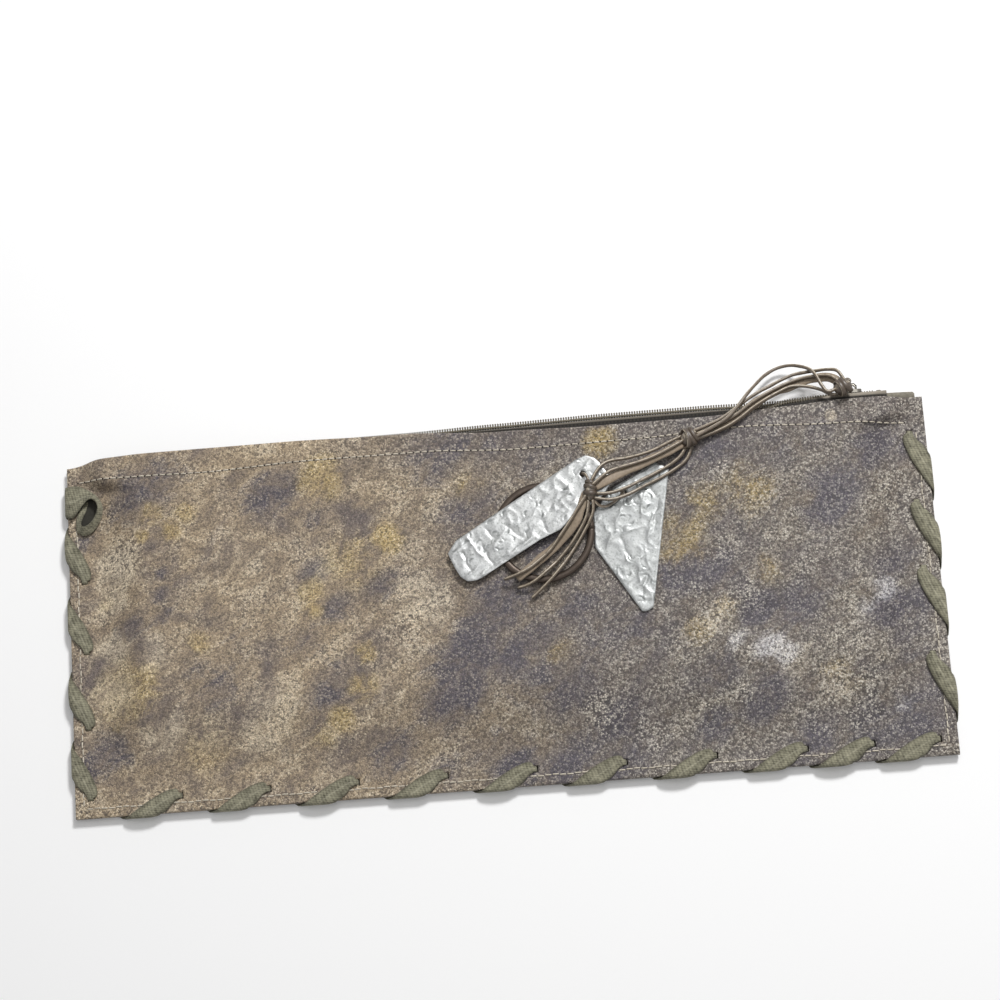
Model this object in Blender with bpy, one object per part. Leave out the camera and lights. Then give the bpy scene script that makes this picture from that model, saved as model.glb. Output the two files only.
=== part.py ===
# Laced leather zip pouch with a cord tassel and two hammered metal charms.
# It lies on its back with the zip open, +Z up out of the front panel and +Y towards the zip.

import math

import bmesh
import bpy
from mathutils import Vector

mm = 0.001

# Driving sizes of the pouch
bag_length = 409.0 * mm
bag_height = 169.0 * mm
leather = 1.6 * mm
pocket_height = 8.35 * mm
gap = 0.3 * mm

# Seam round the left, bottom and right edges
seam_flat = 14.0 * mm
seam_flat_at_zip = 5.0 * mm
side_rise = 24.0 * mm
side_rise_at_zip = 16.0 * mm
bottom_rise = 38.0 * mm
back_rise = 12.0 * mm
seam_change_low = 15.0 * mm
seam_change_high = 8.5 * mm

# Lacing ribbon and the slots that it passes through
lace_width = 6.0 * mm
lace_thickness = 1.0 * mm
lace_floor_gap = 0.2 * mm
slot_inset = 7.6 * mm
slot_clearance = 0.4 * mm
leaf_length = 24.5 * mm
leaf_length_right = 28.0 * mm
wrap_skew = 5.5 * mm

# Zip: chain, tapes, slider and stops
tooth_pitch = 1.82 * mm
tooth_length = 1.2 * mm
tooth_height = 2.0 * mm
rail_width = 1.0 * mm
tape_thickness = 0.35 * mm
tape_depth = 10.5 * mm
chain_y = bag_height / 2 + 2.9 * mm
slider_length = 10.0 * mm
slider_width = 6.6 * mm
slider_plate = 0.9 * mm
slider_play = 0.25 * mm
wedge_width = 0.7 * mm
bail_length = 6.0 * mm
bail_height = 3.3 * mm
bail_bar = 0.9 * mm
bail_width = 2.4 * mm
slider_from_right = 32.9 * mm
stop_from_left = 22.4 * mm
stop_from_right = 21.1 * mm
stop_length = 2.2 * mm
tape_from_right = 16.5 * mm
tape_past_stop = 4.0 * mm

# Places along the open mouth, from the middle of the bag
mouth_left = -150.0 * mm
mouth_rise = -100.0 * mm
mouth_fall = -42.0 * mm
mouth_middle = 5.0 * mm
mouth_deep = 53.0 * mm
mouth_right = 100.0 * mm
rows_turning = 125.0 * mm
rows_tilted = 145.0 * mm
rows_upright = 158.0 * mm

# Cords, knots and charms of the tassel
cord_diameter = 1.6 * mm
tan_width = 4.3 * mm
tan_thickness = 1.3 * mm
ring_radius = 22.2 * mm
ring_width = 3.4 * mm
ring_height = 2.4 * mm
charm_thickness = 1.0 * mm
charm_hole = 3.2 * mm

# Heights that follow from the sizes
back_lift = lace_floor_gap + lace_thickness + gap
seam_under = back_lift + leather + gap
crown_under = leather + pocket_height
crown_top = crown_under + leather
lace_front_z = seam_under + leather + gap + lace_thickness / 2
lace_back_z = lace_floor_gap + lace_thickness / 2
chain_z = leather + pocket_height / 2
half_length = bag_length / 2
half_height = bag_height / 2


def material(name, colour, roughness, metallic=0.0):
    made = bpy.data.materials.new(name)
    made.use_nodes = True
    shader = made.node_tree.nodes["Principled BSDF"]
    shader.inputs["Base Color"].default_value = (*colour, 1.0)
    shader.inputs["Roughness"].default_value = roughness
    shader.inputs["Metallic"].default_value = metallic
    made.diffuse_color = (*colour, 1.0)
    return made


for old in list(bpy.data.objects):
    bpy.data.objects.remove(old)

crackled_leather = material("crackled_leather", (0.25, 0.19, 0.15), 0.55)
back_leather = material("back_leather", (0.21, 0.165, 0.14), 0.6)
olive_ribbon = material("olive_ribbon", (0.17, 0.18, 0.11), 0.85)
zip_tape_cloth = material("zip_tape_cloth", (0.13, 0.12, 0.09), 0.9)
zip_metal = material("zip_metal", (0.30, 0.27, 0.21), 0.35, 1.0)
slider_metal = material("slider_metal", (0.28, 0.26, 0.22), 0.35, 1.0)
waxed_cord = material("waxed_cord", (0.12, 0.10, 0.075), 0.7)
tan_suede = material("tan_suede", (0.28, 0.20, 0.14), 0.85)
ring_bronze = material("ring_bronze", (0.10, 0.075, 0.055), 0.35, 0.6)
charm_metal = material("charm_metal", (0.72, 0.73, 0.73), 0.3, 1.0)


def mix(a, b, t):
    return a + (b - a) * t


def smooth_step(t):
    t = min(max(t, 0.0), 1.0)
    return t * t * (3 - 2 * t)


def along(points, x):
    # Reads a smooth height or offset at x from (x, value) points, flat past both ends
    if x <= points[0][0]:
        return points[0][1]
    if x >= points[-1][0]:
        return points[-1][1]
    i = max(k for k in range(len(points) - 1) if points[k][0] <= x)
    t = (x - points[i][0]) / (points[i + 1][0] - points[i][0])
    return mix(points[i][1], points[i + 1][1], smooth_step(t))


bag = bpy.data.objects.new("bag_frame", None)
bpy.context.scene.collection.objects.link(bag)


def place(name, mesh_or_curve, finish):
    made = bpy.data.objects.new(name, mesh_or_curve)
    bpy.context.scene.collection.objects.link(made)
    mesh_or_curve.materials.append(finish)
    made.parent = bag
    return made


def solid(name, work, finish, smooth_angle=None):
    bmesh.ops.recalc_face_normals(work, faces=work.faces)
    if work.calc_volume(signed=True) < 0:
        bmesh.ops.reverse_faces(work, faces=work.faces)
    mesh = bpy.data.meshes.new(name)
    work.to_mesh(mesh)
    work.free()
    if smooth_angle:
        mesh.shade_smooth()
        mesh.set_sharp_from_angle(angle=math.radians(smooth_angle))
    return place(name, mesh, finish)


def cutter(name, work):
    made = solid(name, work, zip_metal)
    made.hide_render = True
    made.display_type = "WIRE"
    return made


def boolean(target, tool, operation="DIFFERENCE"):
    step = target.modifiers.new(tool.name, "BOOLEAN")
    step.object = tool
    step.operation = operation
    step.solver = "EXACT"


def loft(work, rings, closed=False):
    # Skins a row of rings with the same number of points, and caps it unless it closes on itself
    made = [[work.verts.new(point) for point in ring] for ring in rings]
    count = len(made[0])
    for k in range(len(made) - (0 if closed else 1)):
        a, b = made[k], made[(k + 1) % len(made)]
        for i in range(count):
            j = (i + 1) % count
            work.faces.new((a[i], a[j], b[j], b[i]))
    if not closed:
        work.faces.new(made[0])
        work.faces.new(made[-1])


def prism(work, outline, low, high, up=Vector((0, 0, 1))):
    # Stands a flat outline up into a closed block between two heights along up
    loft(work, [[Vector(p) + up * h for p in outline] for h in (low, high)])


# Leather panels: one outline, a crowned front and a back that lifts at the seam.
# The front top edge dips towards the middle, as the open mouth shows in (x, rise) points.

lip_points = [
    (-half_length, -0.6 * mm), (-half_length + 16.5 * mm, 1.6 * mm), (mouth_left - 15 * mm, 2.4 * mm),
    (mouth_rise, 2.2 * mm), (mouth_fall, 1.0 * mm), (mouth_middle, -0.7 * mm), (mouth_deep, -1.5 * mm),
    (mouth_right, -2.3 * mm), (rows_tilted, -1.0 * mm), (rows_upright + 5 * mm, 0.1 * mm),
    (half_length, -0.2 * mm),
]


def seam_width(y, low, high):
    # The flat seam narrows towards the zip, above the last lacing slot
    top = half_height
    return mix(low, high, smooth_step((y - (top - seam_change_low)) / (seam_change_low - seam_change_high)))


def front_under(x, y):
    flat = seam_width(y, seam_flat, seam_flat_at_zip)
    rise = seam_width(y, side_rise, side_rise_at_zip)
    side = smooth_step((half_length - abs(x) - flat) / rise)
    bottom = smooth_step((y + half_height - seam_flat) / bottom_rise)
    return mix(seam_under, crown_under, side * bottom)


def back_under(x, y):
    side = smooth_step((half_length - abs(x) - seam_flat) / back_rise)
    bottom = smooth_step((y + half_height - seam_flat) / back_rise)
    return back_lift * (1 - side * bottom)


def stations(lengths_from_edge, inner):
    # Mirrored stations from both ends of the bag, with the inner ones between
    ends = [half_length - d for d in lengths_from_edge]
    return sorted([-e for e in ends] + inner + ends)


def panel(name, under, lip, columns, rows, finish):
    work = bmesh.new()
    top = [half_height + lip(x) for x in columns]
    grid = []
    for i, x in enumerate(columns):
        line = []
        for from_bottom in rows:
            y = min(from_bottom - half_height, top[i])
            line.append(work.verts.new((x, y, under(x, y))))
        line.append(work.verts.new((x, top[i], under(x, top[i]))))
        grid.append(line)
    for i in range(len(columns) - 1):
        for j in range(len(rows)):
            work.faces.new((grid[i][j], grid[i + 1][j], grid[i + 1][j + 1], grid[i][j + 1]))
    raised = bmesh.ops.extrude_face_region(work, geom=list(work.faces))
    moved = [item for item in raised["geom"] if isinstance(item, bmesh.types.BMVert)]
    bmesh.ops.translate(work, verts=moved, vec=(0, 0, leather))
    return solid(name, work, finish, 40)


side_steps = [0, 5 * mm, 9 * mm, 13.5 * mm, 18 * mm, 22 * mm, 27 * mm, 32 * mm, 38.5 * mm]
mouth_steps = [
    mouth_left + 20 * mm, mouth_rise + 10 * mm, mouth_fall, mouth_middle, mouth_deep, mouth_right, rows_turning,
    rows_tilted,
]
rows_up = [
    0, 8 * mm, seam_flat, seam_flat + 0.2 * bottom_rise, seam_flat + 0.45 * bottom_rise,
    seam_flat + 0.7 * bottom_rise, seam_flat + bottom_rise, 105 * mm,
    bag_height - seam_change_low, bag_height - 11.5 * mm, bag_height - seam_change_high,
]
front_panel = panel(
    "front_panel", front_under, lambda x: along(lip_points, x), stations(side_steps, mouth_steps), rows_up,
    crackled_leather,
)

back_rows = [0] + [seam_flat + share * back_rise for share in (0, 0.3, 0.7, 1)]
back_side_steps = [0] + [seam_flat + share * back_rise for share in (0, 0.3, 0.7, 1)]
back_panel = panel(
    "back_panel", back_under, lambda x: -0.1 * mm, stations(back_side_steps, []), back_rows, back_leather
)

# Lacing: one flat ribbon whipped through slots along the left, bottom and right edges.
# Slots are set out from the corners, as they show on the front.

left_slots = [57.5 * mm, 91.5 * mm, 127.5 * mm, 160.5 * mm]
right_slots = [47.8 * mm, 87.9 * mm, 119.2 * mm, 152.0 * mm]
bottom_first = 50.2 * mm
bottom_pitch = 41.4 * mm
bottom_corner = 8.6 * mm
bottom_corner_pitch = 30.0 * mm
bottom_run = bag_length - bottom_first - bottom_corner - bottom_corner_pitch - bottom_pitch / 2
bottom_slots = [bottom_first + k * bottom_pitch for k in range(int(bottom_run // bottom_pitch) + 1)]
bottom_slots += [bag_length - bottom_corner - bottom_corner_pitch, bag_length - bottom_corner]


class Edge:
    # One side of the bag: a start corner, the way the ribbon travels and the way into the bag
    def __init__(self, corner, travel, inward):
        self.corner = Vector(corner)
        self.travel = Vector(travel)
        self.inward = Vector(inward)

    def at(self, far, deep, z):
        return self.corner + self.travel * far + self.inward * deep + Vector((0, 0, z))


left_edge = Edge((-half_length, half_height, 0), (0, -1, 0), (1, 0, 0))
bottom_edge = Edge((-half_length, -half_height, 0), (1, 0, 0), (0, 1, 0))
right_edge = Edge((half_length, -half_height, 0), (0, 1, 0), (-1, 0, 0))
slots = [(left_edge, far, leaf_length) for far in left_slots]
slots += [(bottom_edge, far, leaf_length) for far in bottom_slots]
slots += [(right_edge, far, leaf_length_right) for far in right_slots]


def slot_cutter(name):
    work = bmesh.new()
    half = lace_width / 2 + slot_clearance
    thick = lace_thickness / 2 + slot_clearance
    for edge, far, _ in slots:
        shape = [(-thick, -half), (thick, -half), (thick, half), (-thick, half)]
        outline = [edge.at(far + a, slot_inset + b, 0) for a, b in shape]
        prism(work, outline, -1 * mm, seam_under + 2 * leather)
    return cutter(name, work)


lacing_slots = slot_cutter("lacing_slots")
boolean(front_panel, lacing_slots)
boolean(back_panel, lacing_slots)

ribbon_rings = []
ribbon_turned = False


def ribbon_line(first, second, outward):
    # Adds a line across the ribbon: its two ends and the way that faces off the leather
    a, b = (second, first) if ribbon_turned else (first, second)
    half = outward.normalized() * (-lace_thickness / 2 if ribbon_turned else lace_thickness / 2)
    ribbon_rings.append([a + half, b + half, b - half, a - half])


up, down = Vector((0, 0, 1)), Vector((0, 0, -1))
wrap = gap + lace_thickness / 2
seam_top = seam_under + leather


def ribbon_round_edge(edge, apex, width):
    # From the back, round the laced edge and on to the front, leaning as a helix does
    outside = -edge.inward
    steps = [
        (0.0, lace_back_z, down, 1.0), (0.7 * wrap, back_lift - 0.7 * wrap, outside + down, 0.85),
        (wrap, back_lift, outside, 0.75), (wrap, seam_top, outside, 0.25),
        (0.7 * wrap, seam_top + 0.7 * wrap, outside + up, 0.15), (0.0, lace_front_z, up, 0.0),
    ]
    for out, z, facing, share in steps:
        start = apex - wrap_skew * share
        ribbon_line(edge.at(start, -out, z), edge.at(start + width, -out, z), facing)


def ribbon_to_slot(edge, apex, width, far):
    # The leaf on the front: from the edge line to the slot, fanned over the flat seam
    run = far - apex
    inner = slot_inset + lace_width / 2
    outer = slot_inset - lace_width / 2
    leaf = [
        (0.30, 0.46, 1.02 * width, 0.02), (0.60, 0.88, 1.06 * width, 0.07),
        (0.84, 1.10, 1.14 * width, 0.18),
    ]
    for share, depth, back_far, back_depth in leaf:
        ribbon_line(
            edge.at(apex + share * run, depth * inner, lace_front_z),
            edge.at(apex + back_far, back_depth * inner, lace_front_z), up,
        )
    bend = 1.2 * lace_thickness
    ribbon_line(edge.at(far - bend, inner, lace_front_z), edge.at(far - bend, outer, lace_front_z), up)


def ribbon_through_slot(edge, far):
    global ribbon_turned
    ribbon_turned = not ribbon_turned
    inner = slot_inset + lace_width / 2
    outer = slot_inset - lace_width / 2
    bend = 1.2 * lace_thickness
    ease = 0.35 * lace_thickness
    steps = [
        (-ease, lace_front_z - ease, down - edge.travel), (0, seam_top - 0.4 * mm, -edge.travel),
        (0, back_lift + 0.5 * mm, -edge.travel), (ease, lace_back_z + ease, down - edge.travel),
        (bend, lace_back_z, down),
    ]
    for step, z, facing in steps:
        ribbon_line(edge.at(far + step, outer, z), edge.at(far + step, inner, z), facing)


start_edge, start_far, start_leaf = slots[0]
start_tail = start_far - start_leaf - 1.3 * wrap_skew
ribbon_line(
    start_edge.at(start_tail, seam_flat - 1 * mm, lace_back_z),
    start_edge.at(start_tail + 2 * lace_width, seam_flat - 1 * mm, lace_back_z), down,
)
for edge, far, leaf in slots:
    width = 0.62 * leaf
    ribbon_round_edge(edge, far - leaf, width)
    ribbon_to_slot(edge, far - leaf, width, far)
    ribbon_through_slot(edge, far)
tail_end = slots[-1][1] + 10 * mm
ribbon_line(
    right_edge.at(tail_end, slot_inset - lace_width / 2, lace_back_z),
    right_edge.at(tail_end, slot_inset + lace_width / 2, lace_back_z), down,
)
work = bmesh.new()
loft(work, ribbon_rings)
solid("edge_lace", work, olive_ribbon, 35)

# Loose loop at the start of the lacing: it comes round the left edge, stands up and curls under.
# Each line across it is given by two ends measured from the top left corner.

loop_lines = [
    ((12, -12, 0), (12, -22, 0), "back"), ((0, -10.5, 0), (0, -25.5, 0), "back"),
    ((-0.55, -10.3, 0.3), (-0.55, -25.5, 0.3), "under"), ((-0.8, -10.2, 0.8), (-0.8, -25.5, 0.8), "out"),
    ((-0.8, -10.1, 4.3), (-0.8, -25.6, 4.3), "out"), ((0.0, -10.0, 5.6), (-0.2, -25.8, 5.4), "over"),
    ((6.5, -9.6, 7.2), (5.0, -24.6, 6.6), "up"), ((12.0, -11.0, 8.9), (9.6, -21.6, 8.4), "up"),
    ((15.6, -13.6, 9.3), (12.8, -21.4, 9.3), "up"), ((17.6, -16.2, 8.2), (15.6, -22.4, 8.0), "right"),
    ((17.4, -18.4, 6.3), (16.2, -25.2, 5.9), "low"), ((13.4, -22.0, 5.0), (14.2, -30.0, 4.9), "below"),
    ((8.2, -26.4, 4.9), (10.6, -33.4, 4.9), "below"),
]
loop_facing = {
    "back": (0, 0, -1), "under": (-1, 0, -1), "out": (-1, 0, 0), "over": (-1, 0, 1), "up": (-0.2, 0, 1),
    "right": (1, 0, 0.3), "low": (1, 0, -0.8), "below": (0, 0, -1),
}
loop_lift = seam_top + gap + lace_thickness / 2 - 4.9 * mm
rings = []
for first, second, side in loop_lines:
    facing = Vector(loop_facing[side]).normalized() * (lace_thickness / 2)
    ends = []
    for x, y, z in (first, second):
        high = lace_back_z + z * mm if side in ("back", "under", "out") else loop_lift + z * mm
        ends.append(Vector((x * mm - half_length, y * mm + half_height, high)))
    rings.append([ends[0] + facing, ends[1] + facing, ends[1] - facing, ends[0] - facing])
work = bmesh.new()
loft(work, rings)
solid("lace_end_loop", work, olive_ribbon, 50)

# Zip. Each tooth row is one comb on a rail. Its rail's place and the way its teeth point change
# along the mouth: flat where the mouth lies open, turned on edge where the slider closes it.

slider_x = half_length - slider_from_right
slider_left = slider_x - slider_length / 2
slider_right = slider_x + slider_length / 2
rows_left = -half_length + stop_from_left + stop_length + gap
rows_right = half_length - stop_from_right - gap
rail_half = rail_width / 2
tip_reach = rail_half + tooth_length
closed_offset = tip_reach - 0.45 * mm
open_offset = tip_reach + wedge_width / 2 + 0.2 * mm
tape_clear = gap + tape_thickness / 2
front_tape_z = crown_under - tape_clear
back_tape_z = leather + tape_clear
quarter = math.pi / 2
mouth_tip = chain_y + 0.6 * mm
front_row_z = crown_under - 0.45 * mm - tooth_height / 2
back_row_z = leather - 0.4 * mm + tooth_height / 2
slider_turn = slider_left + 1.2 * mm
slider_shut = slider_left + 4.6 * mm

# (x, rail y, rail z, turn of the teeth from +Y)
front_row_path = [
    (rows_left, chain_y - 2.3 * mm, front_row_z - 0.3 * mm, 0.0), (mouth_left, chain_y - 2.7 * mm, front_row_z, 0.0),
    (mouth_rise, chain_y - 2.8 * mm, front_row_z, 0.0), (mouth_fall, chain_y - 4.2 * mm, front_row_z, 0.0),
    (mouth_middle, chain_y - 6.2 * mm, front_row_z, 0.0), (mouth_deep, chain_y - 7.2 * mm, front_row_z, 0.0),
    (mouth_right, chain_y - 7.0 * mm, front_row_z, 0.0), (rows_turning, chain_y - 4.6 * mm, front_row_z, -0.05),
    (rows_tilted, chain_y - 1.6 * mm, front_row_z, -0.5),
    (rows_upright, chain_y - 0.4 * mm, front_row_z - 0.1 * mm, -1.2),
    (slider_left - 1.5 * mm, chain_y, chain_z + open_offset + 0.15 * mm, -quarter),
    (slider_turn, chain_y, chain_z + open_offset - 0.15 * mm, -quarter),
    (slider_shut, chain_y, chain_z + closed_offset, -quarter),
    (rows_right, chain_y, chain_z + closed_offset, -quarter),
]
back_rail_y = mouth_tip - tip_reach
back_row_path = [
    (rows_left, back_rail_y, back_row_z + 0.3 * mm, 0.0), (mouth_left, back_rail_y, back_row_z, 0.0),
    (mouth_right, back_rail_y, back_row_z, 0.0), (rows_turning, back_rail_y, back_row_z, 0.05),
    (rows_tilted, chain_y - 0.9 * mm, back_row_z + 0.3 * mm, 0.5),
    (rows_upright, chain_y - 0.3 * mm, back_row_z + 1.0 * mm, 1.2),
    (slider_left - 1.5 * mm, chain_y, chain_z - open_offset - 0.15 * mm, quarter),
    (slider_turn, chain_y, chain_z - open_offset + 0.15 * mm, quarter),
    (slider_shut, chain_y, chain_z - closed_offset, quarter),
    (rows_right, chain_y, chain_z - closed_offset, quarter),
]


def row_frame(path, x):
    # Rail centre, the way the teeth point and the way across their thickness
    y, z, turn = (along([(p[0], p[k]) for p in path], x) for k in (1, 2, 3))
    point = Vector((0, math.cos(turn), math.sin(turn)))
    across = Vector((0, -math.sin(turn), math.cos(turn)))
    return Vector((x, y, z)), point, across


def tooth_row(name, path, first_tooth):
    work = bmesh.new()
    half = tooth_height / 2
    start = rows_left + first_tooth
    count = int((rows_right - start) / tooth_pitch)
    faces = []

    def corners(x, reach):
        centre, point, across = row_frame(path, x)
        place_at = centre + point * reach
        return work.verts.new(place_at + across * half), work.verts.new(place_at - across * half)

    back = corners(start, -rail_half)
    valley = corners(start, rail_half)
    faces.append((back[0], valley[0], valley[1], back[1]))
    for k in range(count):
        x = start + k * tooth_pitch
        tip = corners(x + tooth_pitch / 2, tip_reach)
        next_back = corners(x + tooth_pitch, -rail_half)
        next_valley = corners(x + tooth_pitch, rail_half)
        faces.append((back[0], next_back[0], next_valley[0], tip[0], valley[0]))
        faces.append((back[1], valley[1], tip[1], next_valley[1], next_back[1]))
        faces.append((valley[0], tip[0], tip[1], valley[1]))
        faces.append((tip[0], next_valley[0], next_valley[1], tip[1]))
        faces.append((back[1], next_back[1], next_back[0], back[0]))
        back, valley = next_back, next_valley
    faces.append((back[1], valley[1], valley[0], back[0]))
    for face in faces:
        work.faces.new(face)
    bmesh.ops.triangulate(work, faces=[f for f in work.faces if len(f.verts) > 4])
    return solid(name, work, zip_metal)


tooth_row("teeth_row_front", front_row_path, 0.0)
tooth_row("teeth_row_back", back_row_path, tooth_pitch / 2)


def tape(name, path, tape_z, side, under):
    # Cloth tape: flat on its panel at the sewn side, then bent over to the back of its rail
    work = bmesh.new()
    left = rows_left - tape_past_stop
    right = half_length - tape_from_right
    near = [slider_left, slider_turn, slider_shut, slider_right, rows_right]
    mouth = [mouth_left, mouth_rise, mouth_fall, mouth_middle, mouth_deep]
    turning = (slider_left - mouth_right) / 12
    mouth += [mouth_right + k * turning for k in range(12)]
    rings = []
    for x in [left, rows_left] + mouth + near + [right]:
        centre, point, _ = row_frame(path, x)
        line = [centre - point * (rail_half + gap), centre - point * (rail_half + 1.9 * mm)]
        outer_x = math.copysign(abs(x) + 3 * mm, x)
        if line[1].y < half_height + 1 * mm:
            line[1].z = under(outer_x, line[1].y) + side * tape_clear
        elif abs(line[1].z - tape_z) < 0.7 * mm or (line[1].z - tape_z) * side < 0:
            line[1].z = tape_z
        for y in (min(line[1].y - 1.8 * mm, chain_y - 3.4 * mm), half_height - tape_depth):
            line.append(Vector((x, y, under(outer_x, y) + side * tape_clear)))
        ring_over, ring_under = [], []
        for k, p in enumerate(line):
            before, after = line[max(k - 1, 0)], line[min(k + 1, 3)]
            run = (after - before).normalized()
            normal = Vector((0, -run.z, run.y)) * (tape_thickness / 2)
            ring_over.append(p + normal)
            ring_under.append(p - normal)
        rings.append(ring_over + ring_under[::-1])
    loft(work, rings)
    return solid(name, work, zip_tape_cloth, 40)


tape("zip_tape_front", front_row_path, front_tape_z, -1, front_under)
tape("zip_tape_back", back_row_path, back_tape_z, 1, lambda x, y: back_under(x, y) + leather)


def block(work, low, high):
    # A plain box between two corners
    x0, y0, z0 = low
    x1, y1, z1 = high
    prism(work, [(x0, y0, 0), (x1, y0, 0), (x1, y1, 0), (x0, y1, 0)], z0, z1)


def stop(name, x, y_low, y_high, low, high):
    work = bmesh.new()
    block(work, (x, y_low, low), (x + stop_length, y_high, high))
    bmesh.ops.bevel(work, geom=list(work.edges), offset=0.25 * mm, segments=1, affect="EDGES")
    return solid(name, work, zip_metal)


stop_x = -half_length + stop_from_left
stop_tall = 0.8 * mm
for name, path in (("top_stop_front", front_row_path), ("top_stop_back", back_row_path)):
    y, z = path[0][1], path[0][2]
    stop(name, stop_x, y - rail_half, y + tip_reach, z - stop_tall, z + stop_tall)
stop_half = closed_offset + rail_half
stop(
    "bottom_stop", half_length - stop_from_right, chain_y - tooth_height / 2, chain_y + tooth_height / 2,
    chain_z - stop_half, chain_z + stop_half,
)

# Slider: a cast body with a Y-shaped channel, a wedge that parts the teeth and a bail on its face.

plate_half = tooth_height / 2 + slider_play + slider_plate
face_y = chain_y + plate_half
half_wide = slider_width / 2
nose_wide = closed_offset + rail_half + slider_play + 0.75 * mm
across_y = Vector((0, 1, 0))
work = bmesh.new()
outline = [
    (slider_left, -half_wide + 1 * mm), (slider_left + 1.2 * mm, -half_wide),
    (slider_left + 4.2 * mm, -half_wide), (slider_right - 2.5 * mm, -nose_wide),
    (slider_right - 0.6 * mm, -nose_wide + 0.1 * mm), (slider_right, -nose_wide + 0.9 * mm),
    (slider_right, nose_wide - 0.9 * mm), (slider_right - 0.6 * mm, nose_wide - 0.1 * mm),
    (slider_right - 2.5 * mm, nose_wide), (slider_left + 4.2 * mm, half_wide),
    (slider_left + 1.2 * mm, half_wide), (slider_left, half_wide - 1 * mm),
]
prism(work, [(x, 0, chain_z + z) for x, z in outline], chain_y - plate_half, face_y, across_y)
slider = solid("slider_body", work, slider_metal, 30)

work = bmesh.new()
mouth_half = open_offset + rail_half + 0.2 * mm
shut_half = closed_offset + rail_half + 0.2 * mm
past = 1 * mm
channel = [
    (slider_left - past, -mouth_half), (slider_left + 1.6 * mm, -mouth_half + 0.12 * mm),
    (slider_shut, -shut_half), (slider_right + past, -shut_half), (slider_right + past, shut_half),
    (slider_shut, shut_half), (slider_left + 1.6 * mm, mouth_half - 0.12 * mm),
    (slider_left - past, mouth_half), (slider_left - past, wedge_width / 2),
    (slider_left + 0.6 * mm, wedge_width / 2), (slider_left + 2.2 * mm, 0),
    (slider_left + 0.6 * mm, -wedge_width / 2), (slider_left - past, -wedge_width / 2),
]
channel_half = tooth_height / 2 + slider_play
low_y, high_y = chain_y - channel_half, chain_y + channel_half
prism(work, [(x, 0, chain_z + z) for x, z in channel], low_y, high_y, across_y)
boolean(slider, cutter("slider_channel", work))

slit = tape_thickness / 2 + 0.28 * mm
for name, side in (("slider_slit_front", 1), ("slider_slit_back", -1)):
    work = bmesh.new()
    ends = sorted((chain_z + side * (shut_half - 0.3 * mm), chain_z + side * (half_wide + past)))
    block(
        work, (slider_left - past, chain_y - slit, ends[0]), (slider_right + past, chain_y + slit, ends[1])
    )
    boolean(slider, cutter(name, work))

work = bmesh.new()
bail_left = slider_x - bail_length / 2
bail_right = slider_x + bail_length / 2
sunk = 0.3 * mm
bail_outline = [
    (bail_left, face_y - sunk), (bail_left + bail_bar, face_y - sunk),
    (bail_left + bail_bar, face_y + bail_height - bail_bar - 0.7 * mm),
    (bail_left + bail_bar + 0.7 * mm, face_y + bail_height - bail_bar),
    (bail_right - bail_bar - 0.7 * mm, face_y + bail_height - bail_bar),
    (bail_right - bail_bar, face_y + bail_height - bail_bar - 0.7 * mm),
    (bail_right - bail_bar, face_y - sunk), (bail_right, face_y - sunk),
    (bail_right, face_y + bail_height - 1.2 * mm), (bail_right - 1.2 * mm, face_y + bail_height),
    (bail_left + 1.2 * mm, face_y + bail_height), (bail_left, face_y + bail_height - 1.2 * mm),
]
prism(work, [(x, y, 0) for x, y in bail_outline], chain_z - bail_width / 2, chain_z + bail_width / 2)
boolean(slider, cutter("slider_bail", work), "UNION")

# Tassel. Heights in the routes are measured from the top of the crowned front panel.

knots = {
    "knot_at_slider": ((167.4, 89.2, 3.8), (4.9, 4.2, 3.3), 0.5),
    "knot_middle": ((94.1, 71.0, 4.1), (4.6, 5.2, 3.6), 0.45),
    "knot_lower": ((46.3, 48.8, 8.3), (3.1, 5.6, 2.9), 1.4),
}


def lifted(point):
    return Vector((point[0] * mm, point[1] * mm, crown_top + point[2] * mm))


def knot(name, centre, radii, turn):
    # A lump of wound cord: a spun shape whose waist shows the wraps, laid along the cords
    work = bmesh.new()
    steps, sides = 13, 12
    axis = Vector((math.cos(turn), math.sin(turn), 0))
    across = Vector((-math.sin(turn), math.cos(turn), 0))
    size = Vector(radii) * mm
    end_points = []
    rings = []
    for k in range(steps):
        t = math.pi * k / (steps - 1)
        wraps = 1 - 0.10 * (1 - math.cos(6 * t)) / 2
        reach = -math.cos(t)
        width = math.sin(t) * wraps
        if k in (0, steps - 1):
            end_points.append(reach)
            continue
        ring = []
        for i in range(sides):
            a = 2 * math.pi * i / sides
            ring.append((reach, width * math.cos(a), width * math.sin(a)))
        rings.append(ring)

    def lay(p):
        flat = axis * p[0] + across * p[1]
        return lifted(centre) + Vector((flat.x * size.x, flat.y * size.y, p[2] * size.z))

    made = [[work.verts.new(lay(p)) for p in ring] for ring in rings]
    for a, b in zip(made, made[1:]):
        for i in range(sides):
            j = (i + 1) % sides
            work.faces.new((a[i], a[j], b[j], b[i]))
    for ring, reach in ((made[0], end_points[0]), (made[-1], end_points[1])):
        pole = work.verts.new(lay((reach, 0, 0)))
        for i in range(sides):
            work.faces.new((ring[i], ring[(i + 1) % sides], pole))
    return solid(name, work, waxed_cord, 60)


for name, (centre, radii, turn) in knots.items():
    knot(name, centre, radii, turn)


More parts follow.
